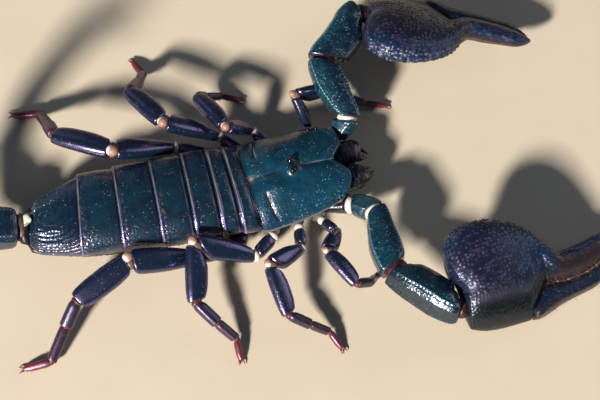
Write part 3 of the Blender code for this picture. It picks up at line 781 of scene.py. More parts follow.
@dataclass
class Finishes:
    """Every finish of the model, made once."""

    shield: ShellFinish = ShellFinish(
        "shield_horn", deep=tone(3, 20, 30), body=tone(6, 58, 76), second=tone(8, 42, 74),
        pale=tone(150, 146, 130), tip=tone(60, 104, 130), tip_share=0.22, grain=0.55, grain_depth=0.04,
        grain_cover=(0.40, 0.60), gloss=0.29, glint=(0.86, 0.90, 1.0), painted_glint=tone(190, 210, 225),
        painted_glint_share=0.5, painted_glint_pitch=0.8, patches=0.5, density=1.6,
    )
    # The back's warm colour is violet: a painted sheen on the sunward side of the plate rims.
    back: ShellFinish = ShellFinish(
        "back_horn", deep=tone(2, 8, 13), body=tone(4, 46, 58), second=tone(7, 28, 54),
        pale=tone(156, 146, 150), warm=tone(124, 98, 180), tip=tone(48, 80, 104), tip_share=0.25,
        grain=0.50, grain_depth=0.04, grain_cover=(0.40, 0.60), gloss=0.26, glint=(0.80, 0.76, 1.0),
        painted_glint=tone(170, 190, 210), painted_glint_share=0.42, painted_glint_pitch=0.9, shine=0.9, coat=0.05, patches=0.7,
    )
    arm: ShellFinish = ShellFinish(
        "arm_horn", deep=tone(5, 15, 12), body=tone(4, 46, 60), second=tone(6, 26, 54),
        tip=tone(100, 170, 185), tip_share=0.3, grain=0.7, grain_depth=0.05, gloss=0.25, patches=0.3,
        glint=(0.72, 0.84, 0.96), painted_glint=tone(190, 215, 225), painted_glint_pitch=0.9, painted_glint_share=0.55, shine=0.7,
    )
    # The hand's high tip share paints a highlight on every grain.
    hand: ShellFinish = ShellFinish(
        "hand_horn", deep=tone(7, 17, 11), body=tone(23, 20, 40), second=tone(2, 30, 54),
        pale=tone(120, 116, 132), warm=tone(42, 27, 19), tip=tone(98, 96, 132), tip_share=0.75,
        grain=0.36, grain_depth=0.01, gloss=0.34, glint=(0.78, 0.80, 1.0), painted_glint_share=0.0, coat=0.03,
        shine=0.45, density=1.6, patches=0.15,
    )
    leg: ShellFinish = ShellFinish(
        "leg_horn", deep=tone(6, 9, 10), body=tone(4, 30, 44), second=tone(12, 18, 42),
        warm=tone(84, 44, 46), tip=tone(50, 70, 110), tip_share=0.25, grain=0.45, grain_depth=0.025,
        grain_cover=(0.5, 0.7), gloss=0.24, glint=(0.70, 0.56, 1.0), coat=0.02, shine=1.0, painted_glint_share=0.3,
        density=1.8,
    )
    foot: ShellFinish = ShellFinish(
        "foot_horn", deep=tone(12, 8, 15), body=tone(20, 20, 36), second=tone(36, 26, 42),
        warm=tone(104, 34, 20), pale=tone(176, 140, 130), tip=tone(120, 90, 110), tip_share=0.2,
        grain=0.4, grain_depth=0.02, gloss=0.33, glint=(0.80, 0.66, 1.0), coat=0.06, shine=0.7,
        painted_glint_share=0.2,
    )
    jaw: ShellFinish = ShellFinish(
        "jaw_horn", deep=tone(3, 4, 8), body=tone(7, 10, 22), second=tone(16, 13, 20),
        warm=tone(60, 36, 30), tip=tone(64, 58, 72), tip_share=0.15, grain=0.5, grain_depth=0.03,
        gloss=0.27, glint=(0.9, 0.84, 1.0), painted_glint_share=0.2,
    )
    bulb: ShellFinish = ShellFinish(
        "bulb_horn", deep=tone(20, 7, 7), body=tone(60, 20, 16), second=tone(36, 14, 20),
        warm=tone(16, 7, 7), tip=tone(140, 86, 66), tip_share=0.2, grain=0.6, grain_depth=0.04, gloss=0.26,
        painted_glint_share=0.2,
    )
    skin: SkinFinish = SkinFinish(
        "joint_skin", body=tone(206, 196, 180), second=tone(160, 116, 98), deep=tone(26, 16, 17),
        warm=tone(84, 16, 24),
    )
    flank: SkinFinish = SkinFinish(
        "flank_skin", body=tone(84, 72, 64), second=tone(48, 34, 34), deep=tone(12, 9, 12), crease=0.4,
    )
    leaf: SkinFinish = SkinFinish(
        "tail_leaf", body=tone(220, 228, 200), second=tone(206, 220, 184), deep=tone(60, 80, 50), crease=0.3,
    )
    comb: SkinFinish = SkinFinish(
        "comb_skin", body=tone(196, 164, 120), second=tone(150, 92, 60), deep=tone(70, 34, 24), gloss=0.36,
    )
    eye: EyeFinish = EyeFinish()
    bristle: BristleFinish = BristleFinish("bristle", tone(56, 32, 28), tone(140, 100, 84))

    def __post_init__(self) -> None:
        """Make a material of each finish, kept under the finish's field name."""
        self.made = {key: finish.make() for key, finish in vars(self).items()}

    def __getitem__(self, key: str) -> bpy.types.Material:
        """Return the material of a finish."""
        return self.made[key]


# --- body


@dataclass
class HeadShield:
    """The carapace: a domed plate with a notched front, a furrow, creases and the eye mound."""

    yaw: float = 5.5
    notch: float = 25.0
    lobe: float = 3.4
    corner: float = 5.0
    eye: tuple[float, float, float] = (13.0, 1.45, 16.4)
    eye_radius: float = 0.88
    rear: float = 0.15

    def half_width(self, x: Array) -> Array:
        """Half width: a flat curve that falls with the square of x, nipped at the rear edge."""
        return 13.9 - 0.0047 * (x - 3.0) ** 2 - 0.6 * swell(x, 1.3)

    def front(self, t: Array) -> Array:
        """Front edge: the notch, plus a lobe by a power of a sine, less the corner by t to the fifth."""
        lobe = np.sin(math.pi / 2 * np.minimum(np.abs(t) / 0.5, 1.0)) ** 1.5
        return self.notch + self.lobe * lobe - self.corner * np.abs(t) ** 5

    def top(self, x: Array, y: Array, t: Array) -> Array:
        """Height of the upper face.

        The margin rises forward and the crest falls; between them the dome follows one
        less t to the 2.6.  The furrow and creases are soft bumps taken away, and the eye
        mound and the brows beside the eyes are soft bumps added.
        """
        forward = np.maximum(x - 14.0, 0.0) / 14.0
        margin = 8.6 + 3.0 * forward**1.5
        crest = 15.2 + 0.5 * np.sin(math.pi * np.minimum(x / 20.0, 1.0)) - 2.4 * forward**2
        height = margin + (crest - margin) * np.maximum(1.0 - np.abs(t) ** 2.6, 0.0) ** 0.8
        furrow = 0.55 * swell(y, 1.6) + 0.22 * swell(y, 0.25) * ease(x, 14.6, 16.0)
        height = height - furrow - 0.20 * swell(y, 0.40) * fall(x, 8.0, 10.5) * ease(x, 0.4, 1.2)
        crease = self.crease(x, y)
        near = fall(np.abs(y), 11.5, 13.4) * ease(np.abs(y), 4.6, 6.6) * ease(1.0 - np.abs(t), 0.02, 0.08)
        height = height - 0.42 * (swell(crease, 0.55) + 0.5 * swell(crease, 1.6)) * near
        height = height + 0.75 * swell(x - 7.6, 2.6) * swell(np.abs(y) - 4.7, 2.7)
        height = height - 0.7 * fall(x, 0.0, 5.0) * (1 - 0.6 * np.abs(t))
        hollow = swell(np.abs(y) - 3.4, 1.6) * swell(x - 12.0, 4.0)
        height = height + 1.9 * swell(x - self.eye[0], 2.3) * swell(y, 1.9) - 0.28 * hollow
        far = np.hypot(x - self.eye[0], np.abs(y) - self.eye[1])
        height = height + 0.32 * swell(far - 1.2, 0.30) * ease(np.abs(y), 0.2, 1.2)
        rim = self.front(t) - x
        height = height + 0.08 * swell(rim - 0.5, 0.45) - 0.06 * swell(rim - 1.7, 0.6)
        return height + 0.10 * swell(1.0 - np.abs(t), 0.02)

    def crease(self, x: Array, y: Array) -> Array:
        """Return how far a place lies ahead of the oblique crease beside the furrow's rear end."""
        return x - 3.7 - 0.19 * (np.abs(y) - 6.0) - 0.03 * (np.abs(y) - 9.0) ** 2

    def glint_patches(self, x: Array, y: Array) -> Array:
        """Return how grainy a place is, on the humps behind the eyes and on the lobes before them; there the
        grain tips are also painted paler, a painted highlight.
        """
        behind = swell(np.hypot((x - 6.6) / 1.3, np.abs(y) - 4.4), 1.7)
        return behind + 0.8 * swell(np.hypot((x - 18.2) / 1.4, np.abs(y) - 3.6), 1.9)

    def under(self, x: Array) -> Array:
        """Height of the underside, which rises towards the mouth."""
        return 8.05 + 2.9 * (np.maximum(x - 15.0, 0.0) / 13.0) ** 1.3

    def skin(self) -> Skin:
        """Carry a profile, along the top and back below it, from flank to flank."""
        across = np.sin(np.linspace(-0.5, 0.5, 210) * math.pi * 0.996)[:, None]
        share = np.concatenate([np.linspace(0.0, 0.9, 150), np.linspace(0.905, 1.0, 26)])[None, :]
        x = self.rear + share * (self.front(across) - self.rear)
        y = across * self.half_width(x)
        floor = self.under(x)
        top = np.maximum(self.top(x, y, across), floor + 0.5)
        grain = pebbles(x / 0.62, y / 0.62, 4.0)
        coarse = pebbles(x / 0.95, y / 0.95, 9.0) * ease(np.abs(across), 0.45, 0.8)
        sides = ease(np.abs(across), 0.25, 0.7) * 0.7 + 0.35 * ease(x, 17.0, 24.0)
        calm = 1.0 - 0.9 * swell(np.hypot(x - self.eye[0], y), 2.6)
        sparse = coarse * (scatter(np.floor(x / 1.9), np.floor(y / 1.9), 3.0) > 0.45)
        glint_patches = self.glint_patches(x, y)
        relief = 0.035 * grain * (0.35 + sides + glint_patches) + 0.07 * coarse * (sides + 1.8 * glint_patches) + 0.05 * sparse
        relief = relief * calm
        upper = np.stack([x, y, top + relief], axis=-1)
        edge_x, edge_y = x[:, -1:], y[:, -1:]
        edge_top, edge_floor = top[:, -1:], floor[:, -1:]
        turn = np.linspace(0.15, 0.85, 5)[None, :]
        down = edge_top + (edge_floor - edge_top) * turn
        nose = (edge_x + 0.28 * np.sin(turn * math.pi), edge_y + 0 * turn, down)
        back = np.linspace(1.0, 0.0, 16)[None, :]
        low_x = self.rear + back * (self.front(across) - self.rear)
        low_y = 0.985 * across * self.half_width(low_x)
        lower = np.stack([low_x, low_y, self.under(low_x)], axis=-1)
        rear_top, rear_floor = upper[:, :1], lower[:, -1:]
        tail = rear_floor + (rear_top - rear_floor) * np.linspace(0.2, 0.85, 4)[None, :, None]
        grid = np.concatenate([upper, np.stack(nose, axis=-1), lower, tail], axis=1) @ turn_z(self.yaw).T
        marks = self.marks(x, y, across, grain, coarse * (sides + 1.4 * glint_patches))
        rest = grid.shape[1] - x.shape[1]
        pad = [np.pad(m, ((0, 0), (0, rest)), mode="edge") for m in marks]
        return Skin().add(grid, Marks(*pad))

    def marks(self, x: Array, y: Array, t: Array, grain: Array, coarse: Array) -> tuple[Array, ...]:
        """Return warm, pale, shade, tip and drift over the upper face."""
        line = swell(y - 0.1 * np.sin(x), 0.16) * ease(x, 15.5, 17.0)
        spot = swell(x - 1.2, 0.6) * swell(y - 0.2, 0.8)
        pale = 0.55 * line + 0.5 * swell((1.0 - np.abs(t)) / 0.012, 1.0) + 0.5 * spot
        crease = self.crease(x, y)
        near = fall(np.abs(y), 11.5, 13.4) * ease(np.abs(y), 4.6, 6.6)
        far = np.hypot(x - self.eye[0], y)
        shade = 1.2 * swell(crease, 0.30) * near + 1.0 * swell(far, 1.35)
        shade = shade + 0.6 * fall(x, 0.2, 1.4) + 0.5 * ease(self.notch + 0.3 - x, 1.2, 0.0) * swell(y, 1.2)
        drift = 0.15 + 0.5 * ease(np.abs(t), 0.55, 0.95) * fall(x, 5.0, 12.0)
        warm = 0.8 * spot + 0.3 * swell(crease, 0.3) * near * (y < 0)
        pale = pale + 0.45 * swell(crease - 0.42, 0.14) * near * fall(np.abs(y), 8.5, 11.0)
        pale = pale + 0.28 * swell(t - 0.93, 0.06) * ease(x, 5.0, 8.0) * fall(x, 18.0, 21.0)
        return warm, pale, shade, 0.6 * grain + 0.6 * coarse, drift

    def eyes(self) -> dict[Side, Skin]:
        """Return the two middle eyes as smooth balls."""
        x, y, z = self.eye
        middles = {side: turn_z(self.yaw) @ np.array([x, side.value * y, z]) for side in Side}
        size = (self.eye_radius,) * 3
        return {side: Skin().add(ball(spot, np.eye(3), size)) for side, spot in middles.items()}

    def side_eyes(self) -> Skin:
        """Return the three small eyes on each front corner, half sunk in the rim."""
        skin = Skin()
        for side in Side:
            for place in (21.6, 22.7, 23.7):
                x, t = np.array(place), np.array(0.955)
                y = t * self.half_width(x)
                high = float(self.top(x, y, t)) + 0.02
                middle = turn_z(self.yaw) @ np.array([place, side.value * float(y), high])
                skin.add(ball(middle, np.eye(3), (0.38, 0.38, 0.34), 10, 14))
        return skin

    def make(self, shop: Workshop) -> None:
        """Hand over the shield and the eyes."""
        shop.hand_over("carapace_shell", self.skin(), "shield", "teal_shell", "carapace")
        for side, skin in self.eyes().items():
            shop.hand_over(f"middle_eye_{side.word}", skin, "eye", "eye_lens", f"eye_{side.word}")
        shop.hand_over("side_eyes", self.side_eyes(), "eye", "eye_lens")


@dataclass
class Trunk:
    """The seven back plates, the belly plates and the soft skin between them."""

    lines: tuple[tuple[float, ...], ...] = (
        # x, y, yaw, half width, crest, belly
        (0.0, 0.0, 5.5, 13.2, 15.0, 4.2),
        (-4.2, 0.5, 3.0, 13.3, 15.5, 4.0),
        (-9.2, 0.9, 1.0, 13.4, 16.0, 3.8),
        (-16.4, 1.0, 0.0, 13.2, 16.3, 3.6),
        (-25.6, 1.1, -1.0, 13.2, 16.4, 3.5),
        (-36.1, 1.4, -3.0, 12.8, 16.1, 3.6),
        (-46.9, 1.9, -7.0, 12.2, 15.2, 4.2),
        (-61.0, 0.9, -6.0, 7.2, 13.0, 6.4),
    )
    flank: float = 8.6
    gap: float = 0.3
    arch: float = 0.8
    plate: float = 0.8
    belly_from: int = 2
    necks: tuple[tuple[float, float, float], ...] = ((0.9, 5.0, 2.8), (2.8, 4.2, 2.5))
    neck_height: float = 9.7
    ring_points: int = 121
    lid_points: int = 24

    def line_at(self, number: int, share: Array) -> Array:
        """Return x, y, yaw, half width, crest and belly at shares of the way between two lines."""
        front, rear = np.array(self.lines[number]), np.array(self.lines[number + 1])
        return front + (rear - front) * np.asarray(share)[..., None]

    def arched(
        self, number: int, share: Array, angle: Array, shift: Array, rise: Array, widen: Array,
    ) -> Array:
        """Return points over the back.

        Across is the half width times the cosine of the angle to the power arch, and up
        is the crest's height over the flank times its sine to the same power.
        """
        x, y, yaw, half, crest, _ = np.moveaxis(self.line_at(number, share), -1, 0)
        across = (half + widen) * power(np.cos(angle), self.arch)
        up = self.flank + (crest + rise - self.flank) * np.maximum(np.sin(angle), 0.0) ** self.arch
        return self.laid((x, y, yaw), shift, across, up)

    def laid(self, line: Sequence[Array], shift: Array | float, across: Array, up: Array) -> Array:
        """Return the points that lie so far along, across and up from places on the line of the back."""
        x, y, yaw = line
        cos, sin = np.cos(np.radians(yaw)), np.sin(np.radians(yaw))
        points = (x + shift * cos - across * sin, y + shift * sin + across * cos, up + 0 * across)
        return np.stack(points, axis=-1)

    def tergite(self, number: int) -> Skin:
        """Carry a plate's profile, along the top, round its rear lip and back below, over the back."""
        angle = np.linspace(0.006, 0.994, 190)[:, None] * math.pi
        share = np.concatenate([np.linspace(0.0, 0.84, 50), np.linspace(0.856, 1.0, 22)])[None, :]
        length = self.lines[number][0] - self.lines[number + 1][0]
        last = number == len(self.lines) - 2
        drop, squeeze = (1.9, 2.2) if last else (0.0, 0.0)
        rise = through((0, 0.14, 0.5, 0.88, 0.965, 1.0), (-0.85, -0.60, -0.15, -0.04, -0.02, -0.10), share)
        widen = through((0, 0.14, 0.5, 0.88, 1.0), (-0.5, -0.3, 0.0, 0.1, 0.0), share)
        groove = swell((share - 0.2) * length, 0.35)
        rise = rise + (0.0 if last else 0.26) * swell((share - 1.0) * length + 0.42, 0.30)
        rise = rise - 0.05 * groove - 0.10 * swell((share - 0.94) * length, 0.25)
        if last:
            rise = rise - drop * ease(share, 0.80, 1.0) ** 2
            widen = widen - squeeze * ease(share, 0.78, 1.0) ** 2
        side = np.abs(np.cos(angle))
        middle = swell(np.cos(angle), 0.05)
        rise = rise + 0.10 * middle * ease(share, 0.25, 0.5)
        a, b = share * length, angle / math.pi * 34.0
        calm = ease(share * length, 1.0, 2.2)
        grain = pebbles(a / 0.6, b / 0.6, 10 + number) * calm
        coarse = pebbles(a / 1.05, b / 1.05, 30 + number)
        rough = ease(side, 0.25, 0.8) * ease(share, 0.3, 0.7)
        keel = np.zeros_like(share * angle)
        if last:
            rough = ease(share, 0.12, 0.4) * (0.35 + 0.55 * ease(side, 0.1, 0.6))
            for place in (0.42, 0.80):
                keel += swell(side - place + 0.05 * share, 0.035) * ease(share, 0.3, 0.5)
            keel *= 0.45 + 0.55 * beads(a, 1.0)
        right = ease(-np.cos(angle), 0.1, 0.7)
        band = swell((share - 1.0) * length + 1.1, 0.6) * ease(-np.cos(angle), -0.3, 0.4) * (3 <= number < 6)
        strength = 0.15 if last else 0.09
        relief = 0.03 * grain + (strength * rough * calm + 0.06 * band) * coarse + 0.5 * keel
        if last:
            far = np.hypot((share - 0.55) * length, (angle / math.pi - 0.42) * 30.0)
            relief = relief + 0.32 * beads(far, 1.6) * ease(far, 2.2, 4.0) * ease(angle / math.pi, 0.48, 0.6)
        edge = 0.18 * swell(side - 1.0, 0.03)
        turn, back = shares(7)[None, 1:-1], np.linspace(0.995, 0.0, 16)[None, :]
        faces = (
            # share, shift, rise, widen
            (share, 0.15 - 0.32 * ease(share, 0.9, 1.0), rise + relief, widen + edge + 0.5 * relief),
            (1.0 + 0 * turn, -0.17 - 0.16 * np.sin(turn * math.pi), -0.10 - 0.5 * turn - drop,
             -0.3 * turn - squeeze),
            (back, 0.1, -0.75 - 0.85 * (1 - back) ** 2 - drop * ease(back, 0.80, 1.0) ** 2,
             -self.plate - squeeze * ease(back, 0.78, 1.0) ** 2),
        )
        grid = np.concatenate([self.arched(number, at, angle, *moves) for at, *moves in faces], axis=1)
        rim = swell((share - 1.0) * length + 0.30, 0.11) * (0.0 if last else 1.0)
        # Painted shadow: a dark band across the front of each plate, where the rim of the plate ahead shades
        # it.
        gap = 1.15 if number in (1, 2, 3) else 0.85
        dark = 2.0 * fall(share * length, gap - 0.3, gap) + 0.15 * groove
        dark = dark + 0.55 * swell((share - 1.0) * length + 0.95, 0.22) * (number < 3)
        patchy = 0.5 + 0.5 * np.sin(b * 0.9 + number) * np.sin(b * 0.37)
        # Pale rim: partly the plate's pale margin, partly painted highlight on its edge.
        pale = 0.75 * rim * (0.45 + 0.55 * patchy) * (1 - 0.5 * right) + 0.30 * band * coarse
        pale = pale + 0.20 * swell(side - 1.0, 0.02)
        pale = pale + 0.4 * swell(share * length - gap - 0.12, 0.10) * (0 < number < 4) * patchy
        tip = np.maximum(grain * 0.55, coarse * rough * 0.9) + 0.7 * keel
        drift = 0.25 + 0.5 * ease(np.abs(share - 0.55), 0.15, 0.5)
        # Warm: the violet painted sheen on the rim's right, sunward side.
        marks = [0.8 * rim * right, pale, dark + 0.35 * ease(side, 0.75, 1.0), tip, drift]
        rest = grid.shape[1] - share.shape[1]
        pad = [np.pad(np.broadcast_to(m, relief.shape), ((0, 0), (0, rest)), mode="edge") for m in marks]
        # The rear lip and underside lose the pale and are painted dark, painted shade under the rim; only
        # lightly on the last plate.
        pad[1][:, -rest:] = 0.0
        pad[2][:, -rest:] = 0.2 if last else 1.0
        return Skin().add(grid, Marks(*pad))

    def hanging(self, number: int, share: float, rise: float, widen: float, shift: float = 0.0) -> Array:
        """Return one ring of the belly: the arch turned over below the flank, and a lid above it."""
        x, y, yaw, half, _, belly = self.line_at(number, share)
        angle = shares(self.ring_points) * math.pi
        floor = self.flank - self.gap
        up = floor - (floor - belly - rise) * np.maximum(np.sin(angle), 0.0) ** self.arch
        across = (half + widen) * power(np.cos(angle), self.arch)
        lid = np.linspace(-0.9, 0.9, self.lid_points)
        across = np.concatenate([across, lid * (half + widen)])
        up = np.concatenate([up, floor + 1.6 * (1 - lid**2)])
        points = np.stack([shift + 0 * across, across, up], axis=-1) @ turn_z(yaw).T
        return points + np.array([x, y, 0.0])

    def flanks(self) -> Skin:
        """Build the soft skin: belly rings with fine pleats at the sides, drawn in to the neck."""
        rings = []
        for number in range(self.belly_from, len(self.lines) - 1):
            first = number == self.belly_from
            for share in shares(26)[0 if first else 1:]:
                tuck = -2.3 + 1.7 * float(ease(share, 0.0, 1.0)) if first else -0.55
                bulge = 0.35 * math.sin(math.pi * share)
                rings.append(self.hanging(number, share, 0.25, tuck + bulge, -0.4 if not rings else 0.0))
        side = np.abs(np.linspace(-1, 1, self.ring_points))
        pleat = np.concatenate([ease(side, 0.72, 0.9), np.zeros(self.lid_points)])[None, :]
        fold = np.arange(1.0, len(rings) + 1)[:, None]
        wave = np.sin(fold * 1.9) * 0.10 + np.sin(fold * 0.83) * 0.06
        grid = raised(np.array(rings), wave * pleat)
        last = self.lines[-1]
        angle = np.radians([*np.linspace(0, 180, self.ring_points), *np.linspace(189, 351, self.lid_points)])
        for back, half_width, half_height in self.necks:
            up = self.neck_height - half_height * np.sin(angle)
            ring = np.stack([-back + 0 * angle, half_width * np.cos(angle), up], axis=-1)
            grid = np.concatenate([grid, (ring @ turn_z(last[2]).T + [last[0], last[1], 0.0])[None]])
        rear = ease(np.arange(len(grid)), len(grid) - 14.0, len(grid) - 3.0)[:, None]
        return Skin().add(grid, Marks(drift=0.3 + 0.4 * pleat, shade=np.maximum(0.25 * (1 - pleat), rear)))

    def sternites(self) -> Skin:
        """Build the belly plates: thin curved shields under the soft skin, each with a rear lip."""
        skin = Skin()
        for number in range(self.belly_from, len(self.lines) - 1):
            angle = np.linspace(0.10, 0.90, 96)[:, None] * math.pi
            start = 0.32 if number == self.belly_from else 0.03
            share = np.linspace(start, 0.985, 40)[None, :]
            both = np.concatenate([share, share[:, ::-1]], axis=1)
            depth = np.concatenate([0.18 + 0.12 * ease(share, 0.8, 0.95), -0.5 + 0 * share], axis=1)
            depth = depth * np.ones_like(angle)
            edge = np.minimum(ease(both, start - 0.02, start + 0.06), ease(1.0 - both, 0.0, 0.05))
            depth = np.where(depth > 0, depth * edge, depth)
            pit = swell((np.abs(np.cos(angle)) - 0.72) * 12.0, 0.55) * swell((both - 0.55) * 10.0, 1.4)
            if number < len(self.lines) - 2:
                depth = depth - 0.35 * pit * (depth > 0)
            x, y, yaw, half, _, belly = np.moveaxis(self.line_at(number, both * np.ones_like(angle)), -1, 0)
            tuck = -2.3 + 1.7 * ease(both, 0.0, 1.0) if number == self.belly_from else -0.55
            across = (half + tuck + depth) * power(np.cos(angle), self.arch)
            floor = self.flank - self.gap
            up = floor - (floor - belly - 0.25 + depth) * np.maximum(np.sin(angle), 0.0) ** self.arch
            grid = self.laid((x, y, yaw), 0.0, across, up)
            rim = np.broadcast_to(swell((both - 0.965) * 10, 0.12), up.shape)
            skin.add(grid, Marks(warm=0.25 + 0.3 * rim, pale=0.3 * rim, shade=0.8 * pit, drift=0.6))
        return skin

    def make(self, shop: Workshop) -> None:
        """Hand over the plates and the skin."""
        for number in range(len(self.lines) - 1):
            name = f"tergite_{number + 1}"
            shop.hand_over(f"{name}_shell", self.tergite(number), "back", "teal_shell", name)
        shop.hand_over("flank_skin", self.flanks(), "flank", "soft_membrane", "belly")
        shop.hand_over("belly_plates", self.sternites(), "jaw", "navy_shell")


@dataclass
class Underside:
    """The coxae, breast plate and lid below the head shield, with a soft core behind them."""

    yaw: float = 7.0
    shift: float = -1.2
    hip_height: float = 6.0
    hips: tuple[tuple[float, float], ...] = ((16.8, 13.2), (10.2, 13.2), (2.5, 13.4), (-6.5, 14.5))
    inner: tuple[tuple[float, float], ...] = ((14.0, 1.5), (9.8, 1.7), (4.4, 2.0), (-1.6, 2.2))
    girth: float = 5.0

    def hip(self, pair: int, side: Side) -> Array:
        """Return the place of a hip, turned with the front of the body where it lies ahead."""
        x, y = self.hips[pair - 1]
        point = np.array([x, side.value * y + self.shift, self.hip_height])
        return turn_z(self.yaw) @ point if x > 0 else point

    def coxae(self) -> Skin:
        """Carry a flattened oval from the breast to each hip, fuller towards the hip."""
        skin = Skin()
        for side in Side:
            for pair in (1, 2, 3, 4):
                x, y = self.inner[pair - 1]
                start = turn_z(self.yaw) @ np.array([x, side.value * y - 0.6, 5.3])
                end = self.hip(pair, side)
                way = unit(end - start)
                s = shares(44)
                path = start + (end - start - way * 0.9) * s[:, None]
                cap = np.sqrt(drawn_in(s, 0.1, 0.9)) * np.sqrt(drawn_in(1 - s, 0.08, 0.75))
                girth = cap * (0.9 if pair < 4 else 1.05)
                broad = through((0, 0.35, 0.8, 1), (2.9, 4.3, 5.2, 4.4), s) * girth
                deep = through((0, 0.4, 0.85, 1), (3.2, 4.2, 4.6, 4.0), s) * cap
                grid = tube(path, broad, deep, 40, 2.6)
                grid = raised(grid, 0.10 * pebbles(s[:, None] * 14, np.arange(40)[None] / 2.5, pair, 16))
                tipped = fall(1 - s, 0.0, 0.08)[:, None]
                skin.add(grid, Marks(warm=0.15 + 0.5 * tipped, pale=0.25 * tipped, drift=0.4))
        return skin

    def breast(self) -> Skin:
        """Build the five-sided breast plate, the lid behind it and the soft core above them."""
        skin = Skin()
        turned = turn_z(self.yaw)
        for x, y, half, long in ((1.6, 0.0, 1.9, 2.2), (-3.0, 1.35, 1.3, 1.2), (-3.0, -1.35, 1.3, 1.2)):
            middle = turned @ np.array([x, y - 0.6, 3.5])
            skin.add(ball(middle, turned[:, [2, 0, 1]].T, (0.7, long, half)), Marks(warm=0.45, drift=0.8))
        return skin

    def core(self) -> Skin:
        """Carry a rounded slab under the shield, which closes the gaps between the coxae."""
        x = np.linspace(-8.6, 15.8, 40)
        half = 9.6 - 0.08 * np.maximum(x, 0) - 3.0 * ease(np.abs(x - 3.6), 9.5, 12.2)
        path = np.stack([x, np.full_like(x, -0.5), np.full_like(x, 6.35)], axis=-1)
        path = np.where(x[:, None] > 0, path @ turn_z(self.yaw).T, path)
        grid = tube(path, 2 * half, np.full_like(x, 2.9), 40, 3.0)
        return Skin().add(grid, Marks(shade=0.8, drift=0.5))

    def make(self, shop: Workshop) -> None:
        """Hand over the coxae, the breast plate and the core."""
        shop.hand_over("coxae", self.coxae(), "jaw", "navy_shell", "prosoma_base")
        shop.hand_over("breast_plate", self.breast(), "jaw", "navy_shell")
        shop.hand_over("chest_skin", self.core(), "flank", "soft_membrane")


@dataclass
class Jaws:
    """The two chelicerae: a ridged block with a fixed and a movable finger."""

    yaw: float = 3.5
    rings: tuple[tuple[float, ...], ...] = (
        # x, y, z, width, height
        (18.0, 2.2, 5.9, 2.6, 2.6),
        (20.0, 2.5, 6.1, 3.8, 3.8),
        (24.5, 3.4, 6.9, 6.0, 5.0),
        (28.5, 3.8, 7.5, 7.2, 5.9),
        (31.6, 3.9, 7.6, 6.6, 5.5),
        (33.4, 3.5, 7.3, 4.4, 3.9),
    )
    fixed: tuple[tuple[float, float, float], ...] = ((31.0, 2.0, 7.4), (33.4, 1.5, 7.0), (35.2, 1.7, 6.4))
    movable: tuple[tuple[float, float, float], ...] = ((31.0, 4.8, 7.4), (33.8, 4.4, 7.0), (35.8, 2.7, 6.3))

    def skin(self, side: Side) -> Skin:
        """Carry the block's oval forward, with cross ridges, then add both toothed fingers."""
        skin = Skin()
        x = np.linspace(self.rings[0][0], self.rings[-1][0], 80)
        y, z, width, height = columns(self.rings, x)
        path = np.stack([x, side.value * y, z], axis=-1) @ turn_z(self.yaw).T
        around = 60
        grid = tube(path, width, height, around, 2.6)
        angle = turns(around)[None, :]
        ridge = np.sin(x[:, None] * 5.2 + 1.1 * np.sin(angle * 2)) * ease(x, 25.0, 27.0)[:, None]
        upper = np.maximum(np.sin(angle), 0.0) ** 0.5
        grain = pebbles(x[:, None] / 0.9, angle / math.tau * 18, 3 + side.value, 18)
        grid = raised(grid, 0.07 * ridge * upper + 0.09 * grain)
        front = ease(x, 29.5, 33.0)[:, None]
        warm = 0.30 * np.maximum(ridge, 0) ** 2 * upper + 0.15 * front
        skin.add(grid, Marks(warm=warm, tip=0.4 * grain, drift=front))
        for points, thick in ((self.fixed, 1.9), (self.movable, 2.3)):
            share = shares(26)
            line = bent([(px, side.value * py, pz) for px, py, pz in points], len(share)) @ turn_z(self.yaw).T
            taper = thick * (1 - share**1.6 * 0.82)
            skin.add(tube(line, taper, taper * 1.1, 18), Marks(warm=0.4, shade=0.8 * share[:, None]))
        for step in range(3):
            inward = -side.value * 0.75
            spot = np.array([32.6 + 0.9 * step, side.value * (4.3 - 0.45 * step) + inward, 6.9 - 0.2 * step])
            tooth = ball(turn_z(self.yaw) @ spot, np.eye(3), (0.30, 0.34, 0.30), 8, 10)
            skin.add(tooth, Marks(warm=0.5, pale=0.3))
        return skin

    def make(self, shop: Workshop) -> None:
        """Hand over both jaws."""
        for side in Side:
            name = f"chelicera_{side.word}"
            shop.hand_over(f"{name}_shell", self.skin(side), "jaw", "navy_shell", name)


@dataclass
class Combs:
    """The two pectines: a jointed shaft with a row of flat teeth along its rear edge."""

    joints: tuple[tuple[float, float, float], ...] = (
        (-2.0, 1.2, 2.15), (-6.5, 7.0, 2.25), (-11.5, 11.5, 2.5),
    )
    teeth: int = 17
    tooth: tuple[float, float, float] = (1.15, 0.34, 0.42)

    def skin(self, side: Side) -> Skin:
        """Carry the shaft along its joints, and set a flattened ball for each tooth."""
        share = shares(46)
        line = bent([(x, side.value * y, z) for x, y, z in self.joints], len(share))
        width = through((0, 0.2, 0.5, 0.85, 1), (1.4, 2.3, 2.5, 1.9, 0.9), share)
        joint = 1 - 0.10 * np.abs(np.sin(share * math.pi * 3.0)) ** 12
        skin = Skin().add(tube(line, width * joint, 1.1 * joint, 20, 2.6), Marks(drift=0.75))
        for number in range(self.teeth):
            at = 3 + int(number * 40 / (self.teeth - 1))
            way = unit(line[at + 1] - line[at - 1])
            out = unit(np.cross([0, 0, side.value], way))
            out = out if out[0] < 0 else -out
            root = line[at] + out * (0.5 * width[at] + 0.55)
            axes = np.stack([out, way, [0, 0, 1]])
            skin.add(ball(root, axes, self.tooth, 8, 10), Marks(drift=0.1, pale=0.1))
        return skin

    def make(self, shop: Workshop) -> None:
        """Hand over both combs."""
        for side in Side:
            shop.hand_over(f"comb_{side.word}", self.skin(side), "comb", "red_shell", f"pecten_{side.word}")


# --- limbs


@dataclass(frozen=True)
class Ridge:
    """A raised line along a limb: its place round it, height, breadth, bead pitch and bead depth."""

    degrees: float
    height: float
    breadth: float = 9.0
    pitch: float = 0.8
    beaded: float = 0.45


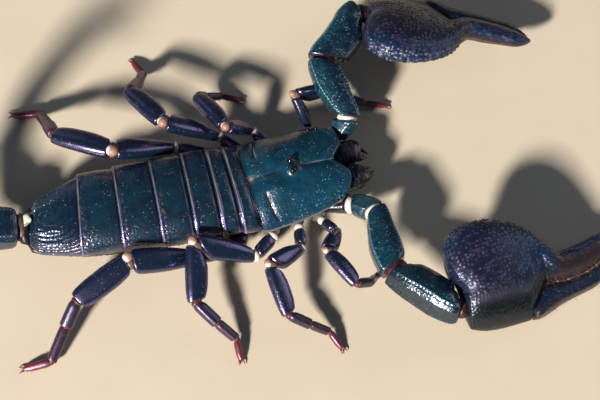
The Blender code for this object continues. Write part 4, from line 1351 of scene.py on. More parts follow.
@dataclass
class Segment:
    """One rigid piece of a limb between two joints.

    Girths are rows of share of length, width, height and outward lean.
    """

    start: Array
    end: Array
    girths: tuple[tuple[float, ...], ...]
    roll: float = 0.0
    squareness: float = 2.5
    insets: tuple[float, float] = (0.15, 0.15)
    rounding: tuple[float, float] = (0.9, 0.9)
    ridges: tuple[Ridge, ...] = ()
    grain: tuple[float, float] = (0.0, 0.0)
    coarse: tuple[float, float] = (0.0, 0.0)
    bow: float = 0.0
    before: Array | None = None
    after: Array | None = None
    mitre: tuple[float, float] = (1.0, 0.3)
    rings: int = 54
    around: int = 44
    seed: float = 1.0

    def __post_init__(self) -> None:
        """Work out the length, and the angles in a ring, from the left round over the top."""
        self.length = float(np.linalg.norm(self.end - self.start))
        self.angles = turns(self.around)[None, :]

    def axes(self) -> tuple[Array, Array, Array]:
        """Return the directions along, across and up, rolled about the limb."""
        way = unit(self.end - self.start)
        across, up = upright(way)
        cos, sin = math.cos(math.radians(self.roll)), math.sin(math.radians(self.roll))
        return way, across * cos + up * sin, up * cos - across * sin

    def grid(self) -> tuple[Array, Array, Array]:
        """Build the skin.

        Each ring is a superellipse whose width and height follow the girths; near both
        ends it shrinks as the root of one less a square, so that the ends are round.
        Where the next piece turns away, the end is cut aslant towards the plane between the
        two.  Ridges, grains and a slight bow are then added along the normals.

        Returns:
            The rings, each ring's distance from the start, and the grain heights.
        """
        way, across, up = self.axes()
        room = self.length - self.insets[0] - self.insets[1]
        t = shares(self.rings)
        share = 0.45 * t + 0.55 * (0.5 - 0.5 * np.cos(math.pi * t))
        width, height, lean = columns(self.girths, share)
        near = 1 - np.minimum(share * room / self.rounding[0], 1)
        far = 1 - np.minimum((1 - share) * room / self.rounding[1], 1)
        cap = np.sqrt((1 - 0.9 * near**2) * (1 - 0.9 * far**2))
        wide, high = oval(self.angles, self.squareness)
        side, rise = wide * (width * cap / 2)[:, None], high * (height * cap / 2)[:, None]
        place = self.insets[0] + share * room
        middle = self.start + way * place[:, None] + across * lean[:, None]
        middle = middle + up * (self.bow * np.sin(math.pi * share))[:, None]
        offset = side[..., None] * across + rise[..., None] * up
        reach = min(0.5, 6.0 / self.length)
        slip = self.slant(offset, way, self.after, ease(share, 1 - reach, 1.0))
        slip = slip + self.slant(offset, way, self.before, fall(share, 0.0, reach))
        grid = middle[:, None] + offset + slip[..., None] * way
        open_part = (np.minimum(near, far) <= 0)[:, None] * cap[:, None]
        relief = np.zeros((self.rings, self.around))
        ends = ease(share, 0.03, 0.14)[:, None] * ease(1 - share, 0.02, 0.12)[:, None]
        for ridge in self.ridges:
            gap = apart(np.degrees(self.angles), ridge.degrees)
            row = 1 - ridge.beaded + ridge.beaded * beads(place[:, None] + ridge.degrees, ridge.pitch)
            relief = relief + ridge.height * swell(gap, ridge.breadth) * row * ends
        tips = relief / 0.3
        girth = 0.5 * math.pi * sum(max(size) for size in list(zip(*self.girths))[1:3])
        for pitch, depth in (self.grain, self.coarse):
            if depth:
                cells = max(int(girth / pitch), 4)
                turn = self.angles / math.tau * cells
                grains = pebbles(place[:, None] / pitch, turn, self.seed + pitch, cells)
                relief = relief + depth * grains * open_part * ends
                tips = np.maximum(tips, grains * min(1.0, depth / 0.08))
        return raised(grid, relief), place[:, None], np.clip(tips, 0, 1)

    def slant(self, offset: Array, way: Array, other: Array | None, weight: Array) -> Array:
        """Return how far points move along the piece so that an end lies in the plane between two ways."""
        if other is None:
            return np.zeros(offset.shape[:2])
        shift = -(offset @ other) / (1.0 + float(np.dot(way, other)))
        retreat = np.sign(shift) * (-1.0 if other is self.after else 1.0) > 0
        shift = shift * np.where(retreat, self.mitre[0], self.mitre[1])
        return np.clip(shift, -3.2, 3.2) * weight[:, None]

    def skin(self, skin: Skin, marks: Marks, warm_ends: tuple[float, float]) -> Skin:
        """Add the segment to a skin, with reddish rims of the given strength at its ends."""
        grid, place, tips = self.grid()
        rims = warm_ends[0] * fall(place - self.insets[0], 0.3, 1.3)
        rims = rims + warm_ends[1] * fall(self.length - self.insets[1] - place, 0.2, 1.2)
        marks = Marks(marks.warm + rims, marks.pale, marks.shade, np.maximum(marks.tip, tips), marks.drift)
        return skin.add(grid, marks)


def inset(before: Array, after: Array, half_width: float) -> float:
    """Return how far a flat end of this half width stops short of a bent joint."""
    half_bend = math.acos(np.clip(np.dot(before, after), -1, 1)) / 2
    return half_width * math.tan(half_bend) + 0.15 / math.cos(half_bend)


@dataclass
class Leg:
    """A walking leg: six segments, soft joints, knee knob, spurs, claws and bristles."""

    side: Side
    pair: int
    lengths: tuple[float, ...]
    girth: tuple[float, float]
    headings: tuple[float, ...]
    heights: tuple[float, ...]
    hip: Array
    roll: float
    sole: float = 0.5
    bristle: float = 0.07

    def __post_init__(self) -> None:
        """Walk the leg from its hip: each length has a heading and an end height."""
        joints = [self.hip]
        for length, heading, height in zip(self.lengths, self.headings, (*self.heights, self.sole)):
            here = joints[-1]
            drop = height - here[2]
            run = math.sqrt(max(length * length - drop * drop, 0.2 * length * length))
            ahead, aside = run * math.cos(math.radians(heading)), run * math.sin(math.radians(heading))
            joints.append(np.array([here[0] + ahead, here[1] + aside, height]))
        self.joints = joints
        self.ways = [unit(b - a) for a, b in zip(joints, joints[1:])]
        self.name = f"leg_{self.side.word}_{self.pair}"

    def segment(self, number: int, girths: Sequence[Sequence[float]], **more: object) -> Segment:
        """Return one segment, its girths given as shares of the leg's breadth and thickness."""
        broad, thin = self.girth
        rows = tuple((s, w * broad, h * thin, *(rest or (0.0,))) for s, w, h, *rest in girths)
        before = self.ways[number - 1] if number else None
        after = self.ways[number + 1] if number < 5 else None
        return Segment(self.joints[number], self.joints[number + 1], rows, roll=self.roll * self.side.value,
                       seed=self.pair * 3 + number, before=before, after=after, **more)

    def thigh(self) -> Skin:
        """Build the trochanter and the blade of the femur, which widens towards the knee."""
        ring = ((0, 0.50, 0.66), (0.3, 0.62, 0.86), (0.75, 0.60, 0.88), (1, 0.50, 0.80))
        hip = self.segment(0, ring, insets=(0.6, 0.45), rings=34, around=36, grain=(0.8, 0.05))
        slim = 0.0 if self.side is Side.LEFT else 0.16
        blade = ((0, 0.46 + slim, 0.80), (0.12, 0.56 + slim, 0.86), (0.38, 0.80 + 0.7 * slim, 0.96),
                 (0.62, 0.97 + 0.2 * slim, 1.0), (0.84, 1.02, 1.0), (0.95, 0.96, 0.96), (1, 0.88, 0.90))
        ridges = (Ridge(172, 0.10, 7, 0.7), Ridge(-8, 0.10, 7, 0.7), Ridge(100, 0.05, 12, 0.9, 0.2))
        thigh = self.segment(1, blade, insets=(0.45, self.knee_inset()), ridges=ridges, rounding=(0.8, 0.8),
                             mitre=(0.95, 0.4), grain=(0.9, 0.025), bow=0.25, around=52)
        skin = hip.skin(Skin(), Marks(drift=0.1, shade=0.15), (0.2, 0.25))
        return thigh.skin(skin, Marks(drift=0.15), (0.2, 0.12))

    def knee_inset(self) -> float:
        """Return how far the blades stop short of the knee, where their inner corners meet."""
        return min(inset(self.ways[1], self.ways[2], 0.12 * self.girth[0]), 0.75)

    def shin(self) -> Skin:
        """Build the patella."""
        blade = ((0, 0.80, 0.90), (0.08, 0.90, 0.97), (0.40, 1.03, 1.03), (0.70, 1.0, 0.98),
                 (0.90, 0.88, 0.90), (1, 0.74, 0.80))
        ridges = (Ridge(175, 0.09, 7, 0.7), Ridge(-5, 0.09, 7, 0.7), Ridge(120, 0.06, 10, 0.9, 0.2))
        piece = self.segment(2, blade, insets=(self.knee_inset(), 0.15), ridges=ridges, rounding=(0.8, 0.5),
                             mitre=(0.95, 0.4), grain=(0.9, 0.025), bow=0.2, around=52)
        return piece.skin(Skin(), Marks(drift=0.4), (0.1, 0.55))

    def foot(self) -> Skin:
        """Build the tibia, basitarsus and tarsus, with spurs at their joints and two claws."""
        skin = Skin()
        tables = (
            # warmth, warmth of the end, girths
            (0.0, 0.30, ((0, 0.44, 0.68), (0.2, 0.55, 0.80), (0.6, 0.57, 0.80), (0.9, 0.56, 0.78),
                         (1, 0.52, 0.74))),
            (0.10, 0.45, ((0, 0.43, 0.66), (0.2, 0.46, 0.69), (0.7, 0.45, 0.67), (0.93, 0.44, 0.64),
                          (1, 0.38, 0.58))),
            (0.62, 0.9, ((0, 0.28, 0.48), (0.2, 0.35, 0.53), (0.6, 0.34, 0.50), (0.85, 0.27, 0.43),
                         (1, 0.19, 0.34))),
        )
        gaps = (0.05, 0.0, 0.04, 0.1)
        ridges = (Ridge(100, 0.05, 12, 0.8, 0.3), Ridge(-80, 0.06, 12, 0.6, 0.8))
        for number, (warm, end_warm, girths) in enumerate(tables):
            piece = self.segment(3 + number, girths, insets=gaps[number:number + 2], rounding=(0.3, 0.3),
                                 ridges=ridges, grain=(0.7, 0.03), rings=46, around=32)
            grid, place, tips = piece.grid()
            grid[..., 2] = np.maximum(grid[..., 2], 0.0)
            left = self.lengths[3 + number] - place
            rim = fall(place, 0.2, 0.9) * 0.35 + fall(left, 0.3, 1.0) * end_warm
            fade = 0.6 * ease(place / self.lengths[3 + number], 0.2, 0.9) if number == 2 else 0.0
            pale = 0.25 * fall(left, 0.1, 0.4)
            skin.add(grid, Marks(warm=warm + rim + fade, pale=pale, tip=tips, drift=0.2 + 0.25 * number))
        for number, size in ((4, 0.9), (5, 0.8)):
            self.spur(skin, number, size)
        self.claws(skin)
        return skin

    def spur(self, skin: Skin, number: int, size: float) -> None:
        """Add two short curved spurs below a joint."""
        way = self.ways[number - 1]
        across, up = upright(way)
        for lean in (-0.5, 0.5):
            root = self.joints[number] - way * 0.35 - up * 0.18 * self.girth[1]
            tip = root + (way * 0.9 - up * 0.55 + across * lean) * size
            tip[2] = max(tip[2], 0.12)
            middle = (root + tip) / 2 - up * 0.08
            taper = np.linspace(0.5, 0.08, 10) * size
            skin.add(tube(bent([root, middle, tip], len(taper)), taper, taper, 8), Marks(warm=0.9, shade=0.2))

    def claws(self, skin: Skin) -> None:
        """Add the two curved claws and the small dactyl of the foot."""
        way, tip = self.ways[5], self.joints[6]
        across, up = upright(way)
        for lean, length in ((-1.0, 0.9), (1.0, 0.9), (0.0, 0.35)):
            line = (
                # ahead, aside, up
                (-0.75, 0.25, 0.0), (0.35 * length, 0.62, 0.20), (length, 0.85, 0.05),
                (1.45 * length, 0.78, -0.25),
            )
            points = np.array([tip + way * a + across * lean * b + up * c for a, b, c in line])
            points[:, 2] = np.maximum(points[:, 2], 0.16)
            share = shares(18)
            taper = 0.68 * (1 - share**1.6 * 0.85)
            claw = tube(bent(points, len(share)), taper, taper, 10)
            skin.add(claw, Marks(warm=1.0, shade=0.3 * share[:, None]))

    def soft(self) -> Skin:
        """Build the joint skins, and the round two-toned knob that stands out of the knee."""
        broad, thin = self.girth
        skin = Skin()
        spots = (
            # joint, along, across, up, warm, shade, drift
            (0, 1.15, 0.27 * broad, 0.42 * thin, 0.0, 0.0, 0.1),
            (1, 1.05, 0.29 * broad, 0.44 * thin, 0.0, 0.0, 0.0),
            (2, 1.5, 0.34 * broad, 0.38 * thin, 0.4, 0.5, 0.7),
            (3, 0.9, 0.25 * broad, 0.33 * thin, 0.7, 0.8, 0.8),
            (4, 0.6, 0.20 * broad, 0.30 * thin, 0.7, 0.7, 0.7),
            (5, 0.6, 0.15 * broad, 0.22 * thin, 0.7, 0.5, 0.7),
        )
        for number, along, across, up, warm, shade, drift in spots:
            before = self.ways[max(number - 1, 0)]
            way = unit(before + self.ways[number])
            axes = np.stack([way, *upright(way)])
            grid = ball(self.joints[number], axes, (along, across, up), 14, 24)
            skin.add(grid, Marks(warm=warm, shade=shade, drift=drift))
        outward = unit(unit(self.ways[1] - self.ways[2]) + np.array([0, 0, 0.35]))
        size = (0.235 if self.side is Side.LEFT else 0.205) * broad
        middle = self.joints[2] + outward * 0.27 * broad
        axes = np.stack([self.ways[2], *upright(self.ways[2])])
        grid = ball(middle, axes, (size * 1.12, size, size * 0.95), 26, 32)
        along = (grid - middle) @ self.ways[2] / size
        ring = swell(along - 0.16, 0.13)
        grid = middle + (grid - middle) * (1 - 0.08 * ring)[..., None]
        drift = 1.0 - 1.1 * ease(along, -0.05, 0.4)
        return skin.add(grid, Marks(pale=0.5 * ease(along, 0.15, 0.5), shade=0.35 * ring, drift=drift))

    def bristles(self, coat: Bristles) -> None:
        """Set stiff hairs below the foot and a few along the shin."""
        broad, thin = self.girth
        rows = ((3, 10, 1.1, -60, 0.56), (4, 16, 1.2, -70, 0.44), (5, 18, 0.9, -80, 0.34))
        for number, count, length, low, shrink in rows:
            way = self.ways[number]
            across, up = upright(way)
            share = (np.arange(count) + 0.5) / count
            spread = np.radians(low + 150 * (scatter(share * 31, 0 * share + number, self.pair) - 0.5))
            cos, sin = np.cos(spread)[:, None], np.sin(spread)[:, None]
            root = self.joints[number] + way * (share * self.lengths[number] * 0.9 + 0.3)[:, None]
            root = root + across * (cos * shrink * broad / 2) + up * (sin * shrink * 1.25 * thin / 2)
            lean = (across * cos + up * sin) * 0.8 + way * 0.75
            lengths = length * (0.7 + 0.5 * scatter(share * 17, 0 * share, number))
            homes = np.stack([0.1 * (number + share), spread / math.tau + 0.5], axis=-1)
            coat.add(root, lean, lengths, self.bristle, homes)

    def make(self, shop: Workshop, coat: Bristles) -> None:
        """Hand over the leg's pieces."""
        shop.hand_over(f"{self.name}_thigh", self.thigh(), "leg", "navy_shell", f"{self.name}_femur")
        shop.hand_over(f"{self.name}_shin", self.shin(), "leg", "navy_shell", f"{self.name}_patella")
        shop.hand_over(f"{self.name}_toes", self.foot(), "foot", "red_shell", f"{self.name}_foot")
        shop.hand_over(f"{self.name}_joints", self.soft(), "skin", "soft_membrane")
        self.bristles(coat)


@dataclass
class Tail:
    """The five ringed tail pieces, the venom bulb and the sting."""

    root: tuple[float, float, float] = (-64.0, 1.6, 9.8)
    yaw: float = -5.0
    rings: tuple[tuple[float, float, float, float], ...] = (
        # length, width, height, pitch
        (9.0, 11.8, 9.0, 12.0),
        (10.4, 10.2, 8.4, 26.0),
        (11.2, 9.6, 8.2, 46.0),
        (12.8, 8.8, 7.8, 74.0),
        (16.0, 7.8, 7.0, 108.0),
    )
    bulb: tuple[float, float, float, float] = (10.0, 7.4, 7.6, 200.0)
    sting: float = 7.0
    curl: float = 62.0
    bristle: float = 0.07
    keels: tuple[tuple[float, float], ...] = (
        # degrees round the ring, the same on its other side; height
        (52, 0.5), (20, 0.34), (-32, 0.26), (-68, 0.2),
    )

    def axes(self, pitch: float) -> tuple[Array, Array, Array]:
        """Return the directions along, across and above a tail piece."""
        angle = math.radians(pitch)
        turn = turn_z(self.yaw)
        along = turn @ np.array([-math.cos(angle), 0.0, math.sin(angle)])
        above = turn @ np.array([math.sin(angle), 0.0, math.cos(angle)])
        return along, np.cross(above, along), above

    def section(self, width: Array, height: Array, furrow: Array, count: int) -> tuple[Array, Array, Array]:
        """Return a squared oval with a furrow along its top, and its angles."""
        angle = turns(count)[None, :]
        wide, high = oval(angle, 2.9)
        across, up = width / 2 * wide, height / 2 * high
        dip = furrow * np.exp(-((across / (0.24 * width)) ** 2)) * (up > 0)
        return across, up - dip, angle

    def ring_skin(self, number: int, root: Array) -> Skin:
        """Build one tail piece, with eight beaded keels and a smooth collar at each end."""
        length, width, height, pitch = self.rings[number]
        pitches = [ring[3] for ring in self.rings] + [self.bulb[3]]
        before = pitches[number - 1] if number else 0.0
        along, across, above = self.axes(pitch)
        bends = (math.radians(bend) / 2 for bend in (pitch - before, pitches[number + 1] - pitch))
        front, rear = (0.30 * height * math.tan(bend) + 0.15 / math.cos(bend) for bend in bends)
        at = np.linspace(front, length - rear, 74)
        places = (front, front + 0.9, length * 0.35, length * 0.65, length - rear - 1.1, length - rear)
        wide = through(places, (0.74, 0.88, 0.93, 0.97, 1.0, 0.88), at)[:, None]
        high = through(places, (0.76, 0.88, 0.96, 1.0, 0.98, 0.84), at)[:, None]
        cap = np.sqrt(drawn_in(at - front, 0.5) * drawn_in(length - rear - at, 0.5))[:, None]
        side, up, angle = self.section(width * wide * cap, height * high * cap, 0.55 * high, 96)
        middle = root + along * at[:, None]
        grid = middle[:, None] + side[..., None] * across + up[..., None] * above
        relief = np.zeros_like(side)
        ends = ease(at - front, 0.5, 1.5)[:, None] * ease(length - rear - at, 0.2, 1.0)[:, None]
        for slope, tall in self.keels:
            for keel in (slope, math.copysign(180, slope) - slope):
                row = 0.45 + 0.75 * beads(at[:, None] + keel, 0.95)
                high_on = swell(apart(np.degrees(angle), keel), 5.5) * row
                relief = relief + tall * 0.8 * high_on * (0.6 + 0.5 * at[:, None] / length)
        grain = pebbles(at[:, None] / 0.8, angle / math.tau * 38, number + 2, 38)
        relief = (relief + 0.07 * grain) * ends
        collar = fall(at - front, 0.3, 1.2)[:, None]
        marks = Marks(shade=0.5 * collar, tip=np.clip(relief / 0.35, 0, 1), drift=0.5)
        return Skin().add(raised(grid, relief), marks)

    def joint_skin(self, root: Array, before: float, after: float, width: float, height: float) -> Array:
        """Return the dark ball that fills a tail joint."""
        size = (1.5 + 0.028 * abs(after - before), 0.455 * width, 0.43 * height)
        return ball(root, np.stack(self.axes((before + after) / 2)), size, 18, 30)

    def bulb_skin(self, root: Array, before: float) -> tuple[Skin, Array]:
        """Build the bulb with rows of grains, and return it with the place where the sting starts."""
        length, width, height, pitch = self.bulb
        along, across, above = self.axes(pitch)
        neck = 1.5 * math.tan(math.radians(pitch - before) / 2) + 0.3
        share = shares(76)
        girths = (
            # share, width, height, drop
            (0.0, 0.38, 0.36, 0.0), (0.14, 0.74, 0.68, -0.05), (0.34, 1.0, 0.94, -0.12),
            (0.58, 0.98, 1.0, -0.12), (0.80, 0.72, 0.78, -0.08), (1.0, 0.34, 0.40, -0.04),
        )
        wide, high, drop = (column[:, None] for column in columns(girths, share))
        cap = np.sqrt(drawn_in(share, 0.05))[:, None]
        angle = turns(80)[None, :]
        middle = root + along * (neck + (length - neck) * share)[:, None] + above * (drop * height)
        round_side, round_up = oval(angle, 2.1)
        side, up = width / 2 * wide * cap * round_side, height / 2 * high * cap * round_up
        grid = middle[:, None] + side[..., None] * across + up[..., None] * above
        grain = pebbles(share[:, None] * 11, angle / math.tau * 20, 3, 20) * ease(share, 0.1, 0.25)[:, None]
        grain = grain * (1 - 0.7 * ease(share, 0.7, 0.95))[:, None]
        under = ease(-np.sin(angle), -0.3, 0.6)
        grid = raised(grid, 0.17 * grain * (0.4 + 0.6 * under))
        skin = Skin().add(grid, Marks(tip=0.7 * grain, drift=0.3, shade=0.3 * (1 - under)))
        return skin, root + along * (length + 0.1) + above * (-0.04 * height)

    def sting_skin(self, point: Array) -> Skin:
        """Carry a round taper forward while its pitch turns back towards the underside."""
        steps = 48
        share = shares(steps)
        frames = [self.axes(self.bulb[3] - self.curl * s**1.3) for s in share]
        path = [point]
        for way, _, _ in frames[:-1]:
            path.append(path[-1] + way * self.sting / (steps - 1))
        radius = 1.22 * (1 - share) ** 0.9 + 0.10
        cos, sin = (wave(turns(28))[:, None] for wave in (np.cos, np.sin))
        rings = [
            middle + size * (cos * across + sin * above)
            for middle, size, (_, across, above) in zip(path, radius, frames)
        ]
        return Skin().add(np.array(rings), Marks(warm=ease(share, 0.25, 0.8)[:, None], shade=0.2))

    def make(self, shop: Workshop, coat: Bristles) -> None:
        """Hand over the tail from its root to the sting's point."""
        root = np.array(self.root)
        neck = root - self.axes(0.0)[0] * 0.6
        joints = Skin().add(self.joint_skin(neck, 0.0, 20.0, 9.4, 7.4), Marks(warm=0.5, shade=0.85))
        for number, (length, width, height, pitch) in enumerate(self.rings):
            name = f"metasoma_{number + 1}"
            shop.hand_over(f"{name}_shell", self.ring_skin(number, root), "back", "teal_shell", name)
            root = root + self.axes(pitch)[0] * length
            last = number == len(self.rings) - 1
            after = self.bulb[3] if last else self.rings[number + 1][3]
            size = (4.6, 5.0) if last else (0.86 * width, 0.86 * height)
            joints.add(self.joint_skin(root, pitch, after, *size), Marks(warm=0.3, shade=0.95, drift=0.8))
        bulb, tip = self.bulb_skin(root, self.rings[-1][3])
        shop.hand_over("venom_bulb", bulb, "bulb", "red_shell", "telson")
        shop.hand_over("sting_point", self.sting_skin(tip), "bulb", "red_shell", "sting")
        shop.hand_over("tail_joints", joints, "skin", "soft_membrane")
        self.patch(shop)
        self.bristles(root, coat)

    def bristles(self, root: Array, coat: Bristles) -> None:
        """Scatter stiff hairs over the bulb, leaning towards the sting."""
        along, across, above = self.axes(self.bulb[3])
        share, turn = (scatter(np.arange(70.0), np.zeros(70), s) for s in (1.0, 2.0))
        angle = turn * math.tau
        middle = root + along * (2.5 + 6.5 * share)[:, None] - above * 0.8
        beside, over = across * np.cos(angle)[:, None], above * np.sin(angle)[:, None]
        girth = 0.47 * through((0, 0.5, 1), (0.8, 1.0, 0.62), share)[:, None]
        roots = middle + (beside * self.bulb[1] + over * self.bulb[2]) * girth
        leans = beside + over + along * 0.35
        lengths = 1.2 + 0.9 * scatter(share * 50, turn, 5.0)
        coat.add(roots, leans, lengths, self.bristle, np.stack([share, turn], axis=-1))

    def patch(self, shop: Workshop) -> None:
        """Hand over the pale leaf of soft skin that shows between the last back plate and the tail."""
        turned = turn_z(-6.0)
        middle = np.array([-61.9, 2.4, 12.1])
        level = [turned @ unit(way) for way in ([-0.9, 0.35, -0.35], [0.35, 0.9, 0.0])]
        axes = np.stack([*level, unit([0.3, 0.0, 0.9])])
        grid = ball(middle, axes, (2.0, 2.3, 0.8), 30, 40)
        ahead, aside = (grid - middle) @ axes[0], (grid - middle) @ axes[1]
        pinch = ease(np.abs(ahead), 0.2, 1.9)
        grid = grid - (0.32 * pinch * aside)[..., None] * axes[1]
        edge = ease(np.abs(aside) / (1.5 * (1.2 - 0.5 * pinch)), 0.6, 1.0)
        shop.hand_over("tail_patch", Skin().add(grid, Marks(shade=0.8 * edge)), "leaf", "soft_membrane")


# --- palps


@dataclass
class PalpArm:
    """The coxa, trochanter, femur and patella of one palp, with its soft joints."""

    side: Side
    joints: tuple[tuple[float, float, float], ...]
    hand_way: Array
    lean: float
    pieces: tuple[tuple[str, tuple[tuple[float, float, float, float], ...]], ...] = (
        ("coxa", ((0.0, 2.6, 2.6, 0.0), (0.16, 4.4, 3.8, 0.0), (0.7, 5.2, 4.6, 0.0), (0.88, 5.2, 5.0, 0.0),
                  (1.0, 4.6, 4.6, 0.0))),
        ("trochanter", ((0.0, 5.0, 5.0, 0.0), (0.22, 5.9, 5.9, 0.0), (0.75, 6.4, 6.3, 0.0),
                        (1.0, 5.6, 5.6, 0.0))),
        ("femur", ((0.0, 5.8, 5.8, 0.0), (0.10, 6.5, 6.4, 0.0), (0.35, 7.8, 7.4, 0.2), (0.62, 9.0, 8.0, 0.3),
                   (0.86, 8.4, 7.6, 0.0), (1.0, 6.8, 6.6, -0.2))),
        ("patella", ((0.0, 7.0, 6.6, 0.0), (0.11, 8.2, 7.2, 0.0), (0.32, 10.0, 8.4, 0.0),
                     (0.62, 10.2, 9.0, 0.5), (0.80, 9.0, 8.4, 1.0), (0.92, 7.6, 7.4, 1.1),
                     (1.0, 6.0, 6.0, 0.6))),
    )
    insets: tuple[tuple[float, float], ...] = ((0.15, 0.15), (0.15, 0.15), (0.15, 0.10), (0.10, 0.10))
    patella_roll: float = -25.0

    def __post_init__(self) -> None:
        """Work out the way along each piece."""
        self.points = [np.array(joint) for joint in self.joints]
        self.ways = [unit(b - a) for a, b in zip(self.points, self.points[1:])] + [self.hand_way]

    def piece(self, number: int) -> tuple[Skin, Array]:
        """Build one arm piece with its keels, and return it with its points."""
        name, girths = self.pieces[number]
        start, end = self.insets[number]
        out = self.side.value
        rows = tuple(
            (share, width, height, out * (shift + self.lean * (name == "patella" and 0.2 < share < 0.7)))
            for share, width, height, shift in girths
        )
        keels = {
            "coxa": (Ridge(90, 0.10, 12),),
            "trochanter": (Ridge(60, 0.22, 8), Ridge(120, 0.22, 8), Ridge(0, 0.15, 8), Ridge(180, 0.15, 8)),
            "femur": (Ridge(90 - 46 * out, 0.42, 7, 0.95, 0.8), Ridge(90 + 46 * out, 0.42, 7, 0.95, 0.8),
                      Ridge(-40, 0.26, 7, 0.8), Ridge(-140, 0.26, 7, 0.8), Ridge(90, 0.10, 5, 1.2, 0.8)),
            "patella": (Ridge(88 - 40 * out, 0.40, 7, 1.1, 0.5), Ridge(90 - 80 * out, 0.14, 7, 0.85),
                        Ridge(90 + 60 * out, 0.16, 7, 0.9), Ridge(-35, 0.24, 7, 0.8),
                        Ridge(-145, 0.24, 7, 0.8)),
        }[name]
        long = name in ("femur", "patella")
        rolled = name == "patella" and self.side is Side.RIGHT
        part = Segment(
            self.points[number], self.points[number + 1], rows, ridges=keels, grain=(0.95, 0.045),
            coarse=(1.6, 0.035), roll=self.patella_roll if rolled else 0.0, insets=(start, end),
            squareness=3.4 if long else 2.6, rounding=(0.8, 0.8) if long else (0.7, 0.7),
            rings=120 if long else 56, around=120 if long else 72, seed=number + 5 * out,
            mitre=(1.6, 0.8) if long else (1.7, 0.7), after=self.ways[number + 1],
            before=self.ways[number - 1] if number else None,
        )
        grid, place, tips = part.grid()
        if name == "patella":
            grid = self.boss(grid, part)
        near = fall(place - start, 0.3, 1.4)
        far = fall(part.length - end - place, 0.2, 1.3)
        warm = 0.15 * near + 0.3 * far if long else 0.1 * far
        # Painted shade: the side turned from the key light, towards +X, is darkened and drifted to the second
        # colour on the femurs and the left patella; on the right patella the same band is its own dark olive
        # outer face.
        turn = np.degrees(part.angles)
        crest = 101 - 23 * out if name == "patella" else 84.0
        lower = fall(turn, 250.0, 280.0)
        away = ease(turn, crest, crest + 10.0) * lower if long else 0.0 * turn
        if name == "femur" and self.side is Side.RIGHT:
            away = 1 - ease(turn, 76.0, 90.0) * lower
        shade = 0.25 * near + (0.75 if rolled else 0.45) * away * (1 - 0.5 * tips)
        return Skin().add(grid, Marks(warm=warm, tip=tips, shade=shade, drift=0.2 + 0.7 * away)), grid

    def boss(self, grid: Array, part: Segment) -> Array:
        """Raise the round boss on the patella's outer back near the wrist: a wide soft bump."""
        way, across, up = part.axes()
        spot = part.start + way * (0.80 * part.length) + across * (1.6 * self.side.value) + up * 3.8
        far = np.linalg.norm(grid - spot, axis=2)
        return grid + normals_of(grid) * (0.5 * swell(far, 1.5) - 0.10 * swell(far - 2.4, 0.7))[..., None]

    def soft(self) -> Skin:
        """Build the ivory collars at the shoulder, the dark red skin at the elbow, and the wrist skin,
        painted near black as painted shade in the gap before the hand.
        """
        skin = Skin()
        joints = (
            # how far in, half sizes, marks
            (0.6, (1.7, 2.5, 2.5), Marks(pale=0.5)),
            (0.7, (1.9, 2.8, 2.8), Marks(pale=0.5)),
            (1.0, (2.6, 3.3, 2.7), Marks(warm=1.0, shade=0.5, drift=0.6)),
            # wrist: painted near black, painted shade between the patella and the hand
            (0.0, (2.1, 2.9, 2.5), Marks(warm=0.15, shade=1.6, drift=0.6)),
        )
        ways = zip(self.ways, self.ways[1:])
        for (depth, size, marks), (before, after), point in zip(joints, ways, self.points[1:]):
            way = unit(before + after)
            middle = point + unit(after - before) * depth
            skin.add(ball(middle, np.stack([way, *upright(way)]), size, 20, 32), marks)
        return skin

    def make(self, shop: Workshop, coat: Bristles) -> None:
        """Hand over the arm's pieces and joints."""
        for number, (name, _) in enumerate(self.pieces):
            look, slot = ("jaw", "navy_shell") if name == "coxa" else ("arm", "teal_shell")
            node = f"palp_{self.side.word}_{name}"
            skin, grid = self.piece(number)
            shop.hand_over(f"{node}_shell", skin, look, slot, node)
            if number >= 2:
                coat.scattered(grid, 70, 0.9, 0.2 * number)
        shop.hand_over(f"palp_{self.side.word}_joints", self.soft(), "skin", "soft_membrane")


